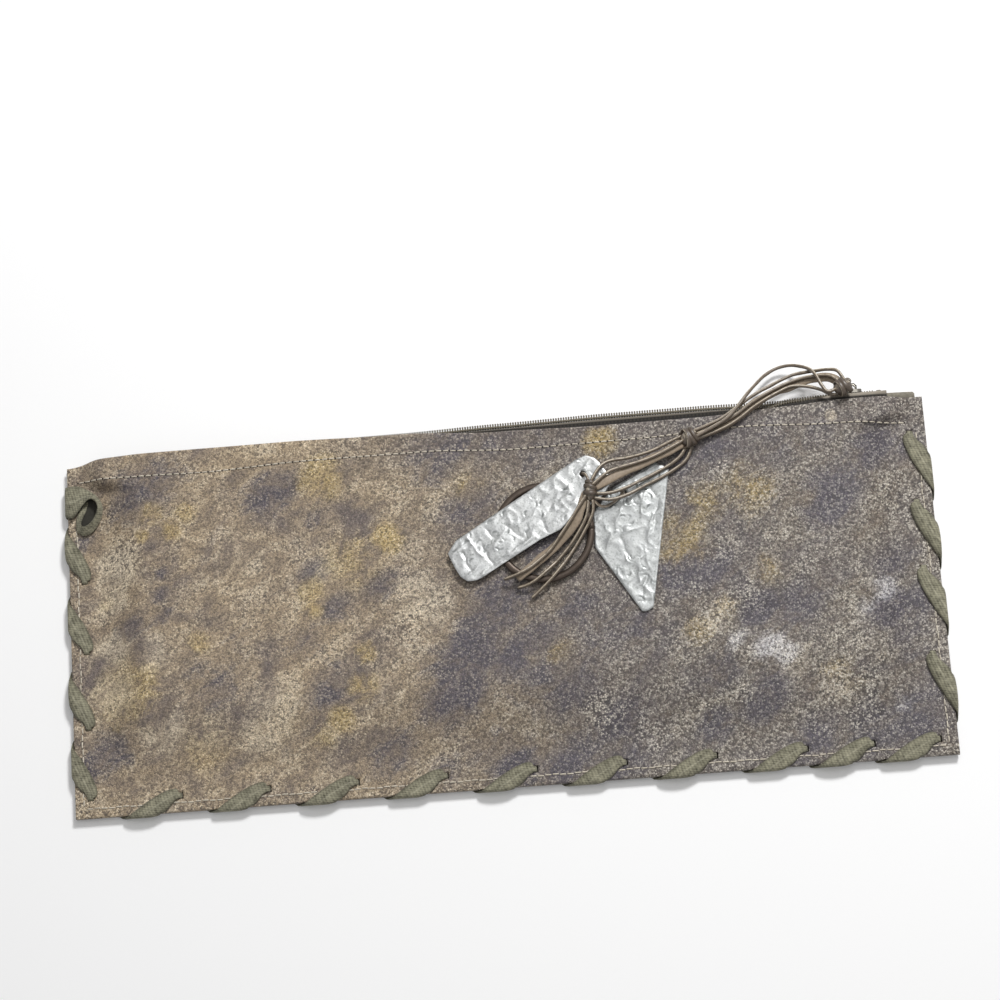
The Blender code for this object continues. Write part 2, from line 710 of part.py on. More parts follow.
def smooth_route(points, step):
    # Reads evenly spaced points from a smooth curve through the route's own points
    ends = [points[0] * 2 - points[1]] + list(points) + [points[-1] * 2 - points[-2]]
    fine = []
    for k in range(1, len(ends) - 2):
        p0, p1, p2, p3 = ends[k - 1], ends[k], ends[k + 1], ends[k + 2]
        parts = max(2, int((p2 - p1).length / (0.2 * mm)))
        for i in range(parts):
            t = i / parts
            fine.append(
                0.5 * (2 * p1 + (p2 - p0) * t + (2 * p0 - 5 * p1 + 4 * p2 - p3) * t ** 2
                       + (3 * p1 - p0 - 3 * p2 + p3) * t ** 3)
            )
    fine.append(ends[-2])
    return fine


def outside_knots(points, margin):
    # Keeps the part of a route between the knots that hold it
    kept = []
    for p in points:
        clear = True
        for centre, radii, _ in knots.values():
            off = p - lifted(centre)
            size = Vector(radii) * mm + Vector((margin, margin, margin))
            if (off.x / size.x) ** 2 + (off.y / size.y) ** 2 + (off.z / size.z) ** 2 < 1:
                clear = False
        if clear:
            kept.append(p)
    return kept


def spaced(points, step):
    total = sum((b - a).length for a, b in zip(points, points[1:]))
    count = max(4, round(total / step))
    made, far, k = [points[0]], 0.0, 0
    for a, b in zip(points, points[1:]):
        far += (b - a).length
        if far >= (len(made)) * total / count and len(made) < count:
            made.append(b)
    made.append(points[-1])
    return made


def round_cord(name, route, finish=waxed_cord, diameter=cord_diameter):
    dense = smooth_route([lifted(p) for p in route], 0.2 * mm)
    line = spaced(outside_knots(dense, gap + diameter / 2), 2.5 * diameter)
    curve = bpy.data.curves.new(name, "CURVE")
    curve.dimensions = "3D"
    curve.bevel_depth = diameter / 2
    curve.bevel_resolution = 2
    curve.use_fill_caps = True
    spline = curve.splines.new("POLY")
    spline.points.add(len(line) - 1)
    for spot, p in zip(spline.points, line):
        spot.co = (*p, 1)
    return place(name, curve, finish)


def flat_lace(name, route):
    # A flat strip of soft leather with rounded sides, lying along its route
    dense = smooth_route([lifted(p) for p in route], 0.2 * mm)
    line = spaced(outside_knots(dense, gap + tan_thickness), 1.1 * tan_width)
    work = bmesh.new()
    rings = []
    for k, p in enumerate(line):
        run = (line[min(k + 1, len(line) - 1)] - line[max(k - 1, 0)]).normalized()
        side = Vector((-run.y, run.x, 0)).normalized()
        over = run.cross(side) * -1
        ring = []
        for a in (0, 35, 145, 180, 215, 325):
            t = math.radians(a)
            width = math.copysign(abs(math.cos(t)) ** 0.5, math.cos(t)) * tan_width / 2
            ring.append(p + side * width + over * (math.sin(t) / math.sin(math.radians(35)) * tan_thickness / 2))
        rings.append(ring)
    loft(work, rings)
    return solid(name, work, tan_suede, 50)


flat_laces = {
    "tan_lace_upper": [
        (166.4, 90.2, 2.4), (164.8, 93.1, 2.2), (160.9, 95.2, 1.2), (155.1, 95.6, -0.6), (149.1, 94.9, -1.6),
        (142.9, 92.7, -1.2), (136.7, 90.8, 0.2), (130.3, 87.7, 1.2), (124.2, 84.2, 1.3), (117.9, 79.8, 1.4),
        (111.6, 76.5, 1.6), (105.4, 74.2, 1.9), (94.2, 70.8, 2.2),
    ],
    "tan_lace_middle": [
        (94.1, 70.6, 3.4), (84.4, 65.4, 4.2), (77.0, 62.4, 4.9), (70.2, 59.7, 5.4), (63.5, 57.1, 6.2),
        (54.6, 53.2, 7.2), (46.3, 49.3, 7.6),
    ],
    "tan_lace_tail": [
        (44.6, 48.4, 6.9), (41.3, 40.7, 6.5), (39.2, 35.9, 6.0), (35.6, 31.6, 5.0), (28.0, 24.4, 3.4),
        (20.1, 18.6, 3.4), (16.2, 15.3, 4.4), (12.8, 12.9, 4.7), (9.3, 10.7, 4.0),
    ],
}
thin_cords = {
    "thin_cord_upper_arc": [
        (164.6, 88.4, 4.6), (160.2, 87.4, 4.8), (157.6, 91.0, 4.6), (155.6, 95.8, 3.9), (153.4, 99.6, 0.9),
        (149.8, 102.4, -2.6), (144.4, 104.3, -5.6), (138.1, 103.6, -6.4), (132.2, 100.2, -4.6),
        (127.4, 95.2, -0.7), (122.6, 89.6, 3.1), (117.4, 83.3, 5.0), (110.6, 77.3, 5.7), (93.4, 68.9, 6.2),
    ],
    "thin_cord_upper_outer": [
        (169.0, 91.2, 3.8), (165.8, 97.2, 3.4), (161.2, 98.9, 1.4), (155.4, 99.4, -1.2), (149.5, 99.3, -2.4),
        (144.7, 98.6, -2.6), (139.1, 96.4, -2.0), (134.1, 93.7, -0.2), (127.2, 90.2, 1.5), (120.3, 85.9, 2.2),
        (111.4, 80.0, 2.7), (104.0, 76.7, 3.2), (93.0, 72.9, 3.6),
    ],
    "thin_cord_upper_inner": [
        (167.2, 90.4, 5.2), (161.9, 95.1, 3.6), (155.1, 96.2, 1.5), (149.0, 95.9, 0.4), (143.1, 94.4, 0.8),
        (137.0, 91.9, 2.1), (130.5, 88.7, 3.1), (124.0, 85.1, 3.2), (117.5, 80.7, 3.3), (111.1, 77.3, 3.5),
        (104.0, 74.4, 3.7), (94.0, 71.2, 4.2),
    ],
    "thin_cord_upper_lower": [
        (164.4, 86.2, 2.6), (161.0, 86.8, 2.3), (157.4, 89.3, 1.5), (153.0, 91.2, 0.8), (148.0, 92.3, 0.5),
        (143.0, 92.2, 0.9), (137.4, 89.8, 2.1), (131.3, 86.7, 3.1), (124.9, 83.1, 3.2), (118.6, 78.7, 3.3),
        (112.1, 75.1, 3.5), (104.7, 72.3, 3.6), (94.8, 69.1, 4.0),
    ],
    "thin_cord_middle_outer": [
        (93.2, 73.0, 3.6), (86.2, 70.3, 3.9), (77.2, 66.4, 4.2), (70.5, 64.6, 4.6), (63.8, 63.4, 5.0),
        (57.7, 62.8, 5.8), (53.4, 61.2, 6.8), (50.0, 57.8, 7.7), (46.3, 51.6, 8.0),
    ],
    "thin_cord_middle_inner": [
        (94.1, 71.0, 5.4), (86.3, 67.0, 6.0), (77.0, 62.8, 6.8), (70.3, 60.7, 7.4), (63.7, 59.1, 8.1),
        (57.5, 57.5, 8.9), (53.2, 55.2, 9.5), (46.3, 49.8, 9.8),
    ],
    "thin_cord_lower_inner": [
        (94.1, 69.8, 2.6), (90.1, 63.6, 2.7), (85.2, 59.7, 2.6), (77.8, 55.9, 3.0), (70.1, 52.4, 4.0),
        (62.3, 49.0, 5.4), (54.6, 47.1, 6.5), (46.3, 47.5, 7.1),
    ],
    "thin_cord_lower_outer": [
        (95.6, 68.6, 1.9), (92.4, 61.6, 1.9), (86.8, 57.2, 2.0), (79.2, 53.2, 2.5), (71.3, 49.7, 3.5),
        (63.6, 46.0, 5.1), (55.4, 44.0, 6.5), (46.3, 45.6, 7.4),
    ],
    "thin_cord_tail_top": [
        (45.4, 47.8, 9.3), (40.6, 41.4, 9.0), (36.6, 35.8, 8.2), (31.4, 29.3, 6.8), (25.7, 22.6, 5.4),
        (19.5, 17.6, 5.6), (14.9, 14.4, 6.6), (9.7, 12.2, 6.4), (3.5, 10.8, 3.4),
    ],
    "thin_cord_tail_middle": [
        (45.5, 46.8, 7.8), (44.5, 39.4, 7.6), (42.2, 34.0, 6.5), (37.2, 27.0, 4.4), (32.4, 21.6, 3.0),
        (27.8, 17.0, 3.0), (22.9, 12.7, 5.0), (18.4, 9.3, 5.0), (14.0, 7.4, 3.6), (9.4, 6.7, 1.8),
    ],
    "thin_cord_tail_long": [
        (47.0, 46.8, 8.3), (47.2, 40.2, 7.4), (45.1, 34.9, 6.2), (41.3, 29.0, 4.4), (37.6, 23.8, 3.4),
        (33.3, 18.1, 3.8), (29.0, 13.0, 5.0), (24.8, 8.7, 4.9), (20.2, 4.9, 3.2), (15.5, 1.4, 1.4),
    ],
}
for name, route in flat_laces.items():
    flat_lace(name, route)
for name, route in thin_cords.items():
    round_cord(name, route)

# Short cords: the curl that ties the tongue charm, the tie of the triangle charm and the loop
# that joins the first knot to the slider's bail.

tongue_hole = (43.4, 57.6)
triangle_hole = (61.5, 48.2)
hole_y = (face_y + (bail_height - bail_bar) / 2) / mm
bar_out = (face_y + bail_height) / mm + 0.95
bail_low = (chain_z - bail_width / 2 - crown_top) / mm
slider_mm = slider_x / mm
thinner_cords = {
    "knot_curl_end": [
        (45.9, 51.9, 9.2), (45.6, 54.4, 8.8), (44.6, 56.6, 7.8), (*tongue_hole, 5.6), (*tongue_hole, 4.2),
        (tongue_hole[0] - 0.4, tongue_hole[1], 2.4),
    ],
    "triangle_tie": [
        (47.4, 45.6, 6.6), (48.6, 43.1, 6.0), (50.4, 41.7, 4.8), (53.0, 41.6, 3.7), (56.9, 43.4, 3.0),
        (60.1, 46.2, 3.2), (61.2, 47.9, 2.8), (*triangle_hole, 1.5), (*triangle_hole, 0.8),
    ],
    "slider_cord_loop": [
        (168.2, 89.2, 1.6), (170.0, hole_y + 0.1, -0.4), (slider_mm, hole_y, -3.0), (slider_mm, hole_y, bail_low),
        (slider_mm, hole_y + 0.4, bail_low - 1.5), (slider_mm, (hole_y + bar_out) / 2, bail_low - 2.2),
        (slider_mm, bar_out - 0.4, bail_low - 1.5), (slider_mm, bar_out, bail_low), (slider_mm, bar_out, -3.0),
        (170.2, bar_out + 0.1, -0.2), (168.6, 92.4, 1.6), (167.4, 90.0, 3.4),
    ],
}
for name, route in thinner_cords.items():
    round_cord(name, route, diameter=1.4 * mm)

# Ring: it lies on the panel at its left, and over the edge of the triangle charm at its right.

ring_centre = (23.1, 31.9)
ring_tilt = -(charm_thickness + gap) / (2 * ring_radius)
work = bmesh.new()
rings = []
for k in range(36):
    a = 2 * math.pi * k / 36
    ring = []
    for i in range(8):
        b = 2 * math.pi * (i + 0.5) / 8
        reach = ring_radius + math.cos(b) * ring_width / 2
        ring.append(Vector((math.cos(a) * reach, math.sin(a) * reach, math.sin(b) * ring_height / 2)))
    rings.append(ring)
loft(work, rings, closed=True)
cord_ring = solid("cord_ring", work, ring_bronze, 60)
ring_mid = crown_top + gap + ring_height / 2 + (charm_thickness + gap) / 2
cord_ring.location = (ring_centre[0] * mm, ring_centre[1] * mm, ring_mid)
cord_ring.rotation_euler = (0, ring_tilt, 0)


def charm(name, outline, low, tilt, hole, dents):
    # Sheet metal cut to its outline, hammered here and there, with a hole for its cord
    work = bmesh.new()
    middle = [sum(p[k] for p in outline) / len(outline) for k in (0, 1)]
    shape = [((x - middle[0]) * mm, (y - middle[1]) * mm, 0) for x, y in outline]
    prism(work, shape, 0, charm_thickness)
    bmesh.ops.triangulate(work, faces=[f for f in work.faces if len(f.verts) > 4])
    made = solid(name, work, charm_metal)
    made.location = (middle[0] * mm, middle[1] * mm, low)
    made.rotation_euler = (0, tilt, 0)
    punch = bmesh.new()
    bmesh.ops.create_cone(
        punch, cap_ends=True, segments=12, radius1=charm_hole / 2, radius2=charm_hole / 2,
        depth=12 * charm_thickness,
    )
    tool = cutter(name + "_hole", punch)
    tool.location = (hole[0] * mm, hole[1] * mm, low)
    boolean(made, tool)
    return made


charm("triangle_charm", [
    (83.6, 57.6), (71.4, -7.0), (69.0, -8.6), (66.1, -8.9), (63.6, -4.9), (46.4, 23.2), (46.7, 39.9),
    (56.7, 50.7), (77.7, 61.0),
], crown_top + gap, 0, triangle_hole, 0)

tongue_outline = [
    (-22.2, 25.3), (-18.3, 30.9), (11.5, 48.2), (41.2, 65.0), (45.1, 66.4), (49.3, 64.9), (52.3, 61.3),
    (57.0, 53.6), (52.3, 46.7), (38.8, 38.1), (31.3, 32.2), (21.3, 28.1), (11.8, 22.9), (0.5, 16.7),
    (-6.2, 12.9), (-9.8, 11.4), (-13.8, 11.4), (-16.9, 13.8), (-19.4, 18.4),
]
tongue_middle = sum(p[0] for p in tongue_outline) / len(tongue_outline)
ring_top = ring_mid + ring_height / 2 + gap
tongue_low = ring_top - (tongue_middle - ring_centre[0]) * mm * ring_tilt
charm("tongue_charm", tongue_outline, tongue_low, ring_tilt, tongue_hole, 0)

# The whole model is moved so that its footprint, without the tassel, is centred on the origin.

footprint_top = face_y + bail_height
footprint_bottom = -half_height - wrap - lace_thickness / 2
bag.location = (0, -(footprint_top + footprint_bottom) / 2, 0)
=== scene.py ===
# Laced leather zip pouch with a cord tassel, a ring and two hammered charms, dressed over its
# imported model. Sizes are in millimetres from the middle of the bag, until a mesh is made.

import functools
import math

import bmesh
import bpy
import numpy as np
from mathutils import Matrix, Vector, geometry


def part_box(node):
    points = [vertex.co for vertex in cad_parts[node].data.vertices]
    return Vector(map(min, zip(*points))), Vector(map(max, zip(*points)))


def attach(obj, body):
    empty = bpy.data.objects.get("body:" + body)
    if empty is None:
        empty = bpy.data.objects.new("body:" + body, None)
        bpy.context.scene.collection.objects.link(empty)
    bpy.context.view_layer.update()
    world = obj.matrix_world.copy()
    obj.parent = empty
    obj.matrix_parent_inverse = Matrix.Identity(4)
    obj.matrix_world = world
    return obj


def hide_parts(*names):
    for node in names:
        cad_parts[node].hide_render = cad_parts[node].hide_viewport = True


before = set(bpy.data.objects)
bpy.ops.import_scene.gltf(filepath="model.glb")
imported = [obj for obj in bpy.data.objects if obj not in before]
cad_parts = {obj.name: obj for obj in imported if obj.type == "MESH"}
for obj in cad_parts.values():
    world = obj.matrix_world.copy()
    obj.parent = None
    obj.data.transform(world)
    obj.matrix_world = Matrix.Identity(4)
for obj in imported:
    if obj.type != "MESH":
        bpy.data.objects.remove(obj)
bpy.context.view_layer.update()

# Back panel: one piece of thick crackled cowhide that lies on the table. It is cut straight,
# its edges are rubbed round, and the slots for the lacing are punched through it.

mm = 0.001
half_length, half_height, leather = 204.5, 84.5, 1.6
bag_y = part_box("back_panel")[0].y / mm + half_height


def smooth(t):
    t = np.clip(t, 0, 1)
    return t * t * (3 - 2 * t)


def hex_colour(code):
    """An sRGB hex colour as the linear values that a shader takes"""
    shares = [int(code[k:k + 2], 16) / 255 for k in (1, 3, 5)]
    return (*[s / 12.92 if s <= 0.04045 else ((s + 0.055) / 1.055) ** 2.4 for s in shares], 1)


def fill(finish, socket, value):
    """Sets a socket to a value or a hex colour, or joins it to an output or to a node's first output in use"""
    if isinstance(value, bpy.types.Node):
        value = next(output for output in value.outputs if output.enabled)
    if isinstance(value, bpy.types.NodeSocket):
        finish.node_tree.links.new(value, socket)
    else:
        socket.default_value = hex_colour(value) if isinstance(value, str) else value


def add_node(finish, kind, links=None, **settings):
    """Adds one node, with its settings and what fills each of its sockets"""
    made = finish.node_tree.nodes.new("ShaderNode" + kind)
    for name, value in settings.items():
        setattr(made, name, value)
    for socket, value in (links or {}).items():
        fill(finish, made.inputs[socket], value)
    return made


def feed(finish, **sockets):
    """Fills the shader's own sockets"""
    for socket, value in sockets.items():
        fill(finish, finish.node_tree.nodes["Principled BSDF"].inputs[socket.replace("_", " ")], value)


def new_finish(name, **sockets):
    made = bpy.data.materials.new(name)
    made.use_nodes = True
    feed(made, **sockets)
    return made


def crackled_leather(name, tan, plum, cream, mustard, dyed, plum_and_shade_spots, pale, bleached, gloss_and_highlight_spots):
    """Cowhide printed with a crackled foil: pale flecks and dark pits about 1 mm wide, over streaky clouds of tan
    and plum dye, some of whose spots are painted shade, and mustard stains. It is half glossy, and glossier where
    the foil is whole, whose colour is also painted pale there as a highlight."""
    finish = new_finish(name, Roughness=0.5, Coat_Roughness=0.3)
    node = functools.partial(add_node, finish)
    place = node("TexCoord").outputs["Object"]
    # The clouds lean up to the right, and are half as long again as wide
    lean, stretch, cloud_size, patch_size = 0.6, 1.5, 26, 11
    leaning = node("Mapping", {
        "Vector": place, "Rotation": (0, 0, lean), "Scale": (stretch, 1, 1)}, vector_type="TEXTURE")
    cloud = node("TexNoise", {
        "Vector": leaning, "Scale": 1 / (cloud_size * mm), "Detail": 6.0, "Roughness": 0.65, "Distortion": 0.5})
    elsewhere = node("VectorMath", {0: leaning, 1: (0.31, 0.12, 0.0)}, operation="ADD")
    patch = node("TexNoise", {
        "Vector": elsewhere, "Scale": 1 / (patch_size * mm), "Detail": 7.0, "Roughness": 0.72, "Distortion": 0.6})
    # The pebbles of the grain are drawn as wide as the real ones. A coarser noise breaks them up into flecks, and
    # a sandy grain lies over it all
    pebble_size, fleck_size, sand_size = 0.84, 1.6, 0.5
    fleck = node("TexNoise", {"Vector": place, "Scale": 1 / (fleck_size * mm), "Detail": 4.0, "Roughness": 0.75})
    flakes, crazing = (node("TexVoronoi", {"Vector": place, "Scale": 1 / (pebble_size * mm)}, feature=feature)
                       for feature in ("F1", "DISTANCE_TO_EDGE"))
    sand = node("TexVoronoi", {"Vector": place, "Scale": 1 / (sand_size * mm)})
    flake, sand = (node("SeparateXYZ", {0: cells.outputs["Color"]}) for cells in (flakes, sand))
    fine = node("MapRange", {"Value": fleck, "From Min": 0.3, "From Max": 0.7, "To Max": 0.45})
    grit = node("Math", {0: flake, 1: 0.55, 2: fine}, operation="MULTIPLY_ADD")

    def cloud_of(spots, leans=False):
        # The strongest of a few soft spots, with ragged borders. The clouds of dye lean as the streaks do
        total = None
        for x, y, radius, strength in spots:
            centre = Vector((x * mm, (y + bag_y) * mm, 0.01))
            if leans:
                centre = Matrix.Rotation(-lean, 3, "Z") @ centre
                centre.x /= stretch
            away = node("VectorMath", {0: leaning if leans else place, 1: tuple(centre)}, operation="DISTANCE")
            share = node("MapRange", {
                "Value": away, "From Min": 1.7 * radius * mm, "From Max": 0.2 * radius * mm,
                "To Max": strength}, interpolation_type="SMOOTHSTEP")
            total = share if total is None else node("Math", {0: total, 1: share}, operation="MAXIMUM")
        broken = node("Math", {0: patch, 1: 3.0, 2: -1.5}, operation="MULTIPLY_ADD")
        whole = node("Math", {0: total, 1: broken}, operation="ADD")
        ragged = node("MapRange", {
            "Value": whole, "From Min": 0.05, "From Max": 1.15}, interpolation_type="SMOOTHSTEP")
        near = node("Math", {0: total, 1: 2.5}, operation="MULTIPLY", use_clamp=True)
        return node("Math", {0: ragged, 1: near}, operation="MULTIPLY")

    # Each share goes from its least to its most while what it follows goes from start to end. The right end is a
    # greyer tan. Hands have darkened the mouth of the pouch from the zip's middle on. Flakes are boldest towards
    # the right, along the lower edge and at both ends, and where the foil is palest
    spot = node("SeparateXYZ", {0: place})
    right, up = spot.outputs["X"], spot.outputs["Y"]
    from_middle = node("Math", {0: right}, operation="ABSOLUTE")
    share = {}
    for layer, source, start, end, least, most in (
            ("plum", cloud, 0.38, 0.72, 0, 0.7), ("stain", patch, 0.62, 0.76, 0, 0.35),
            ("grey", right, -0.09, 0.08, 0, 1), ("smudge", patch, 0.54, 0.36, 0, 0.75),
            ("rubbed", patch, 0.50, 0.68, 0, 0.45), ("used_end", right, -0.09, -0.03, 0, 1),
            ("mouth", up, (bag_y + 60) * mm, (bag_y + 74) * mm, 0, 0.65), ("foil", patch, 0.44, 0.58, 0.12, 0.7),
            ("bolder", right, -0.08, 0.08, 0, 0.35), ("lower", up, (bag_y - 76) * mm, (bag_y - 84) * mm, 0, 0.3),
            ("ends", from_middle, (half_length - 9) * mm, half_length * mm, 0, 0.4),
            ("grain", grit, 0.3, 0.65, 0.2, 0.9), ("pit", grit, 0.46, 0.24, 0, 1), ("speck", grit, 0.42, 0.72, 0, 1),
            ("pebble", flakes, 0.62, 0.3, 0.35, 1), ("crack", crazing, 0.14, 0.02, 0, 0.45),
            ("swelling", crazing, 0, 0.18, 0, 0.5), ("sand", sand, 0, 1, 0.6, 1.4)):
        share[layer] = node("MapRange", {
            "Value": source, "From Min": start, "From Max": end, "To Min": least, "To Max": most},
            interpolation_type="SMOOTHSTEP" if layer in ("plum", "stain", "grey") else "LINEAR")
    plum_and_painted_shade = node("Math", {0: share["plum"], 1: cloud_of(plum_and_shade_spots, True)}, operation="MAXIMUM")
    dye = node("Math", {0: share["stain"], 1: cloud_of(dyed)}, operation="MAXIMUM")
    gloss_and_painted_highlight = cloud_of(gloss_and_highlight_spots, True)
    bold = share["foil"]
    for more in ("bolder", "lower", "ends"):
        bold = node("Math", {0: bold, 1: share[more]}, operation="ADD", use_clamp=True)
    quiet = node("Math", {0: plum_and_painted_shade, 1: -0.5, 2: 1.0}, operation="MULTIPLY_ADD")
    bold = node("Math", {0: bold, 1: quiet}, operation="MULTIPLY")
    bold = node("Math", {0: bold, 1: cloud_of(pale)}, operation="MAXIMUM")
    depth = node("Math", {0: bold, 1: 0.45, 2: 0.45}, operation="MULTIPLY_ADD")
    foil_colour = node("Mix", {0: share["grey"], 6: cream, 7: "#cdc6ba"}, data_type="RGBA")

    # The layers from the ground up, each with what its share is multiplied from
    pit_dark, ground = "#302a28", tan
    for colour, *factors in (
            ("#70685e", share["grey"]), (cream, share["rubbed"]), ("#6f6152", share["smudge"]),
            # The plum layer also lays painted shade in a few of its spots
            ("#5d534c", share["mouth"], share["used_end"]), (plum, plum_and_painted_shade), (mustard, dye, 0.62),
            # The pale #d0cdd1 laid over the glossy foil spots is a painted highlight
            (cream, cloud_of(bleached), 0.5), ("#d0cdd1", gloss_and_painted_highlight, share["grain"]),
            (pit_dark, share["pit"], depth), (pit_dark, share["crack"], bold),
            (foil_colour, share["speck"], bold, share["pebble"])):
        amount = factors[0]
        for factor in factors[1:]:
            amount = node("Math", {0: amount, 1: factor}, operation="MULTIPLY")
        ground = node("Mix", {0: amount, 6: ground, 7: colour}, data_type="RGBA")
    ground = node("VectorMath", {0: ground, "Scale": share["sand"]}, operation="SCALE")
    dull = node("MapRange", {"Value": plum_and_painted_shade, "To Min": 0.62, "To Max": 0.46})
    dull = node("Math", {0: gloss_and_painted_highlight, 1: -0.22, 2: dull}, operation="MULTIPLY_ADD")
    shine = node("Math", {0: gloss_and_painted_highlight, 1: 0.8, 2: 0.08}, operation="MULTIPLY_ADD")
    height = node("Math", {0: grit, 1: 0.8, 2: share["swelling"]}, operation="MULTIPLY_ADD")
    bump = node("Bump", {"Height": height, "Strength": 0.75, "Distance": 0.3 * mm})
    feed(finish, Base_Color=ground, Roughness=dull, Coat_Weight=shine, Normal=bump)
    return finish


def in_place(points):
    return [(x * mm, (y + bag_y) * mm, z * mm) for x, y, z in points]


def closed_mesh(name, points, faces, uv=None):
    """A mesh from points in millimetres, with its faces turned outwards"""
    mesh = bpy.data.meshes.new(name)
    mesh.from_pydata(in_place(points), [], [tuple(int(k) for k in face) for face in faces])
    if uv is not None:
        mesh.uv_layers.new(name="UVMap").data.foreach_set("uv", np.array(uv, float).ravel())
    work = bmesh.new()
    work.from_mesh(mesh)
    bmesh.ops.recalc_face_normals(work, faces=work.faces)
    work.to_mesh(mesh)
    work.free()
    return mesh


def add_object(name, data):
    made = bpy.data.objects.new(name, data)
    bpy.context.scene.collection.objects.link(made)
    return made


def make_piece(name, body, slot, finish, points, faces, uv=None, stands_for=(), crease=None):
    """Turns points in millimetres into a closed piece that rides on its body"""
    mesh = closed_mesh(name, points, faces, uv)
    mesh.shade_smooth()
    if crease:
        mesh.set_sharp_from_angle(angle=math.radians(crease))
    mesh.materials.append(finish)
    made = add_object(name, mesh)
    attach(made, body)
    if stands_for:
        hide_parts(*stands_for)
    return made


def lines_across(length, step):
    """Places of the grid lines over a length, closer together at both cut edges"""
    edge = [0, 0.12, 0.4, 0.8]
    inner = np.linspace(edge[-1], length - edge[-1], max(2, round((length - 2 * edge[-1]) / step)) + 1)
    return np.concatenate([edge[:-1], inner, [length - e for e in edge[:-1]][::-1]])


def panel_grid(under, top, step):
    """A sheet of leather as two skins that meet in rubbed round edges"""
    across = lines_across(2 * half_length, step) - half_length
    up = lines_across(2 * half_height, step) / (2 * half_height)
    x, t = np.meshgrid(across, up, indexing="ij")
    y = -half_height + (top(x) + half_height) * t
    border = np.minimum(np.minimum(x + half_length, half_length - x), np.minimum(y + half_height, top(x) - y))
    share = np.clip(border / (leather / 2), 0, 1)
    fall = leather / 2 * (1 - np.sqrt(1 - (1 - share) ** 2))
    low = under(x, y)
    skin = np.stack([x, y, low + leather - fall], -1).reshape(-1, 3)
    under_skin = np.stack([x, y, low + fall], -1).reshape(-1, 3)
    columns, rows = x.shape
    upper = np.arange(columns * rows).reshape(columns, rows)
    inner = np.zeros((columns, rows), bool)
    inner[1:-1, 1:-1] = True
    lower = upper.copy()
    lower[inner] = columns * rows + np.arange(inner.sum())
    points = np.concatenate([skin, under_skin[inner.ravel()]])
    faces = []
    for grid, turn in ((upper, 1), (lower, -1)):
        quads = np.stack([grid[:-1, :-1], grid[1:, :-1], grid[1:, 1:], grid[:-1, 1:]], -1).reshape(-1, 4)
        faces += [tuple(q[::turn]) for q in quads.tolist()]
    return points, faces


# Slots, by how far along its edge each one is from the corner, and how long the ribbon's leaf is beside it
left_slots, right_slots = [57.5, 91.5, 127.5, 160.5], [47.8, 87.9, 119.2, 152.0]
bottom_slots = [50.2 + 41.4 * k for k in range(8)] + [370.4, 400.4]
slot_inset, slot_wide, slot_low, slot_high, hidden_high = 7.6, 2.8, -0.9, 1.1, 0.45
leaf_long, leaf_right = 24.5, 28.0


class Edge:
    """One edge of the bag, from its corner, with the way along it and the way into the bag"""

    def __init__(self, corner, travel, inward):
        self.corner, self.travel, self.inward = (np.array(v, float) for v in (corner, travel, inward))

    def at(self, far, deep, z):
        return self.corner + self.travel * far + self.inward * deep + np.array((0, 0, z))


left_edge = Edge((-half_length, half_height, 0), (0, -1, 0), (1, 0, 0))
bottom_edge = Edge((-half_length, -half_height, 0), (1, 0, 0), (0, 1, 0))
right_edge = Edge((half_length, -half_height, 0), (0, 1, 0), (-1, 0, 0))
slots = [(left_edge, far, leaf_long) for far in left_slots] + [(bottom_edge, far, leaf_long) for far in bottom_slots]
slots += [(right_edge, far, leaf_right) for far in right_slots]


def punch_slots(piece):
    points, faces = [], []
    for edge, far, _ in slots:
        # The ribbon hides the far end of every slot but those along the bottom
        slot_end = slot_high if edge is bottom_edge else hidden_high
        first = len(points)
        for z in (-2, 9):
            for a, b in ((slot_low, -1), (slot_end, -1), (slot_end, 1), (slot_low, 1)):
                points.append(edge.at(far + a, slot_inset + b * slot_wide / 2, z))
        faces += [tuple(first + k for k in face) for face in (
            (0, 3, 2, 1), (4, 5, 6, 7), (0, 1, 5, 4), (1, 2, 6, 5), (2, 3, 7, 6), (3, 0, 4, 7))]
    punch = add_object("slot_punch", closed_mesh("slot_punch", points, faces))
    step = piece.modifiers.new("slots", "BOOLEAN")
    step.object, step.solver = punch, "EXACT"
    cut = bpy.data.meshes.new_from_object(piece.evaluated_get(bpy.context.evaluated_depsgraph_get()))
    piece.modifiers.clear()
    piece.data = cut
    bpy.data.objects.remove(punch)


seam_wide, back_lift, back_rise = 14, 1.5, 12


def back_under(x, y):
    """The back panel's underside lies flat, and lifts a little towards its three laced edges"""
    flat = smooth((half_length - seam_wide - abs(x)) / back_rise)
    return back_lift * (1 - flat * smooth((y + (half_height - seam_wide)) / back_rise))


back_leather = crackled_leather(
    "crackled_cowhide_back", tan="#9b8a75", plum="#4d4752", cream="#bdb1a0", mustard="#a8904f",
    dyed=[(60, 20, 26, 0.6), (-130, -30, 18, 0.6)],
    plum_and_shade_spots=[(-90, 0, 24, 0.9), (120, -40, 20, 0.8), (10, 50, 16, 0.7)],
    pale=[(0, 60, 30, 0.6)], bleached=[(-120, 30, 24, 0.7)], gloss_and_highlight_spots=[(-40, -20, 14, 0.4)])
points, faces = panel_grid(back_under, lambda x: half_height - 0.1 + 0 * x, 3.0)
back = make_piece(
    "back_panel_leather", "pouch", "back_leather", back_leather, points, faces, stands_for=["back_panel"])
punch_slots(back)

# Front panel: the same cowhide, pushed up into a low pillow by what the pouch holds. Its top edge
# dips towards the middle of the open zip, and the middle of the sheet sags a little between folds.


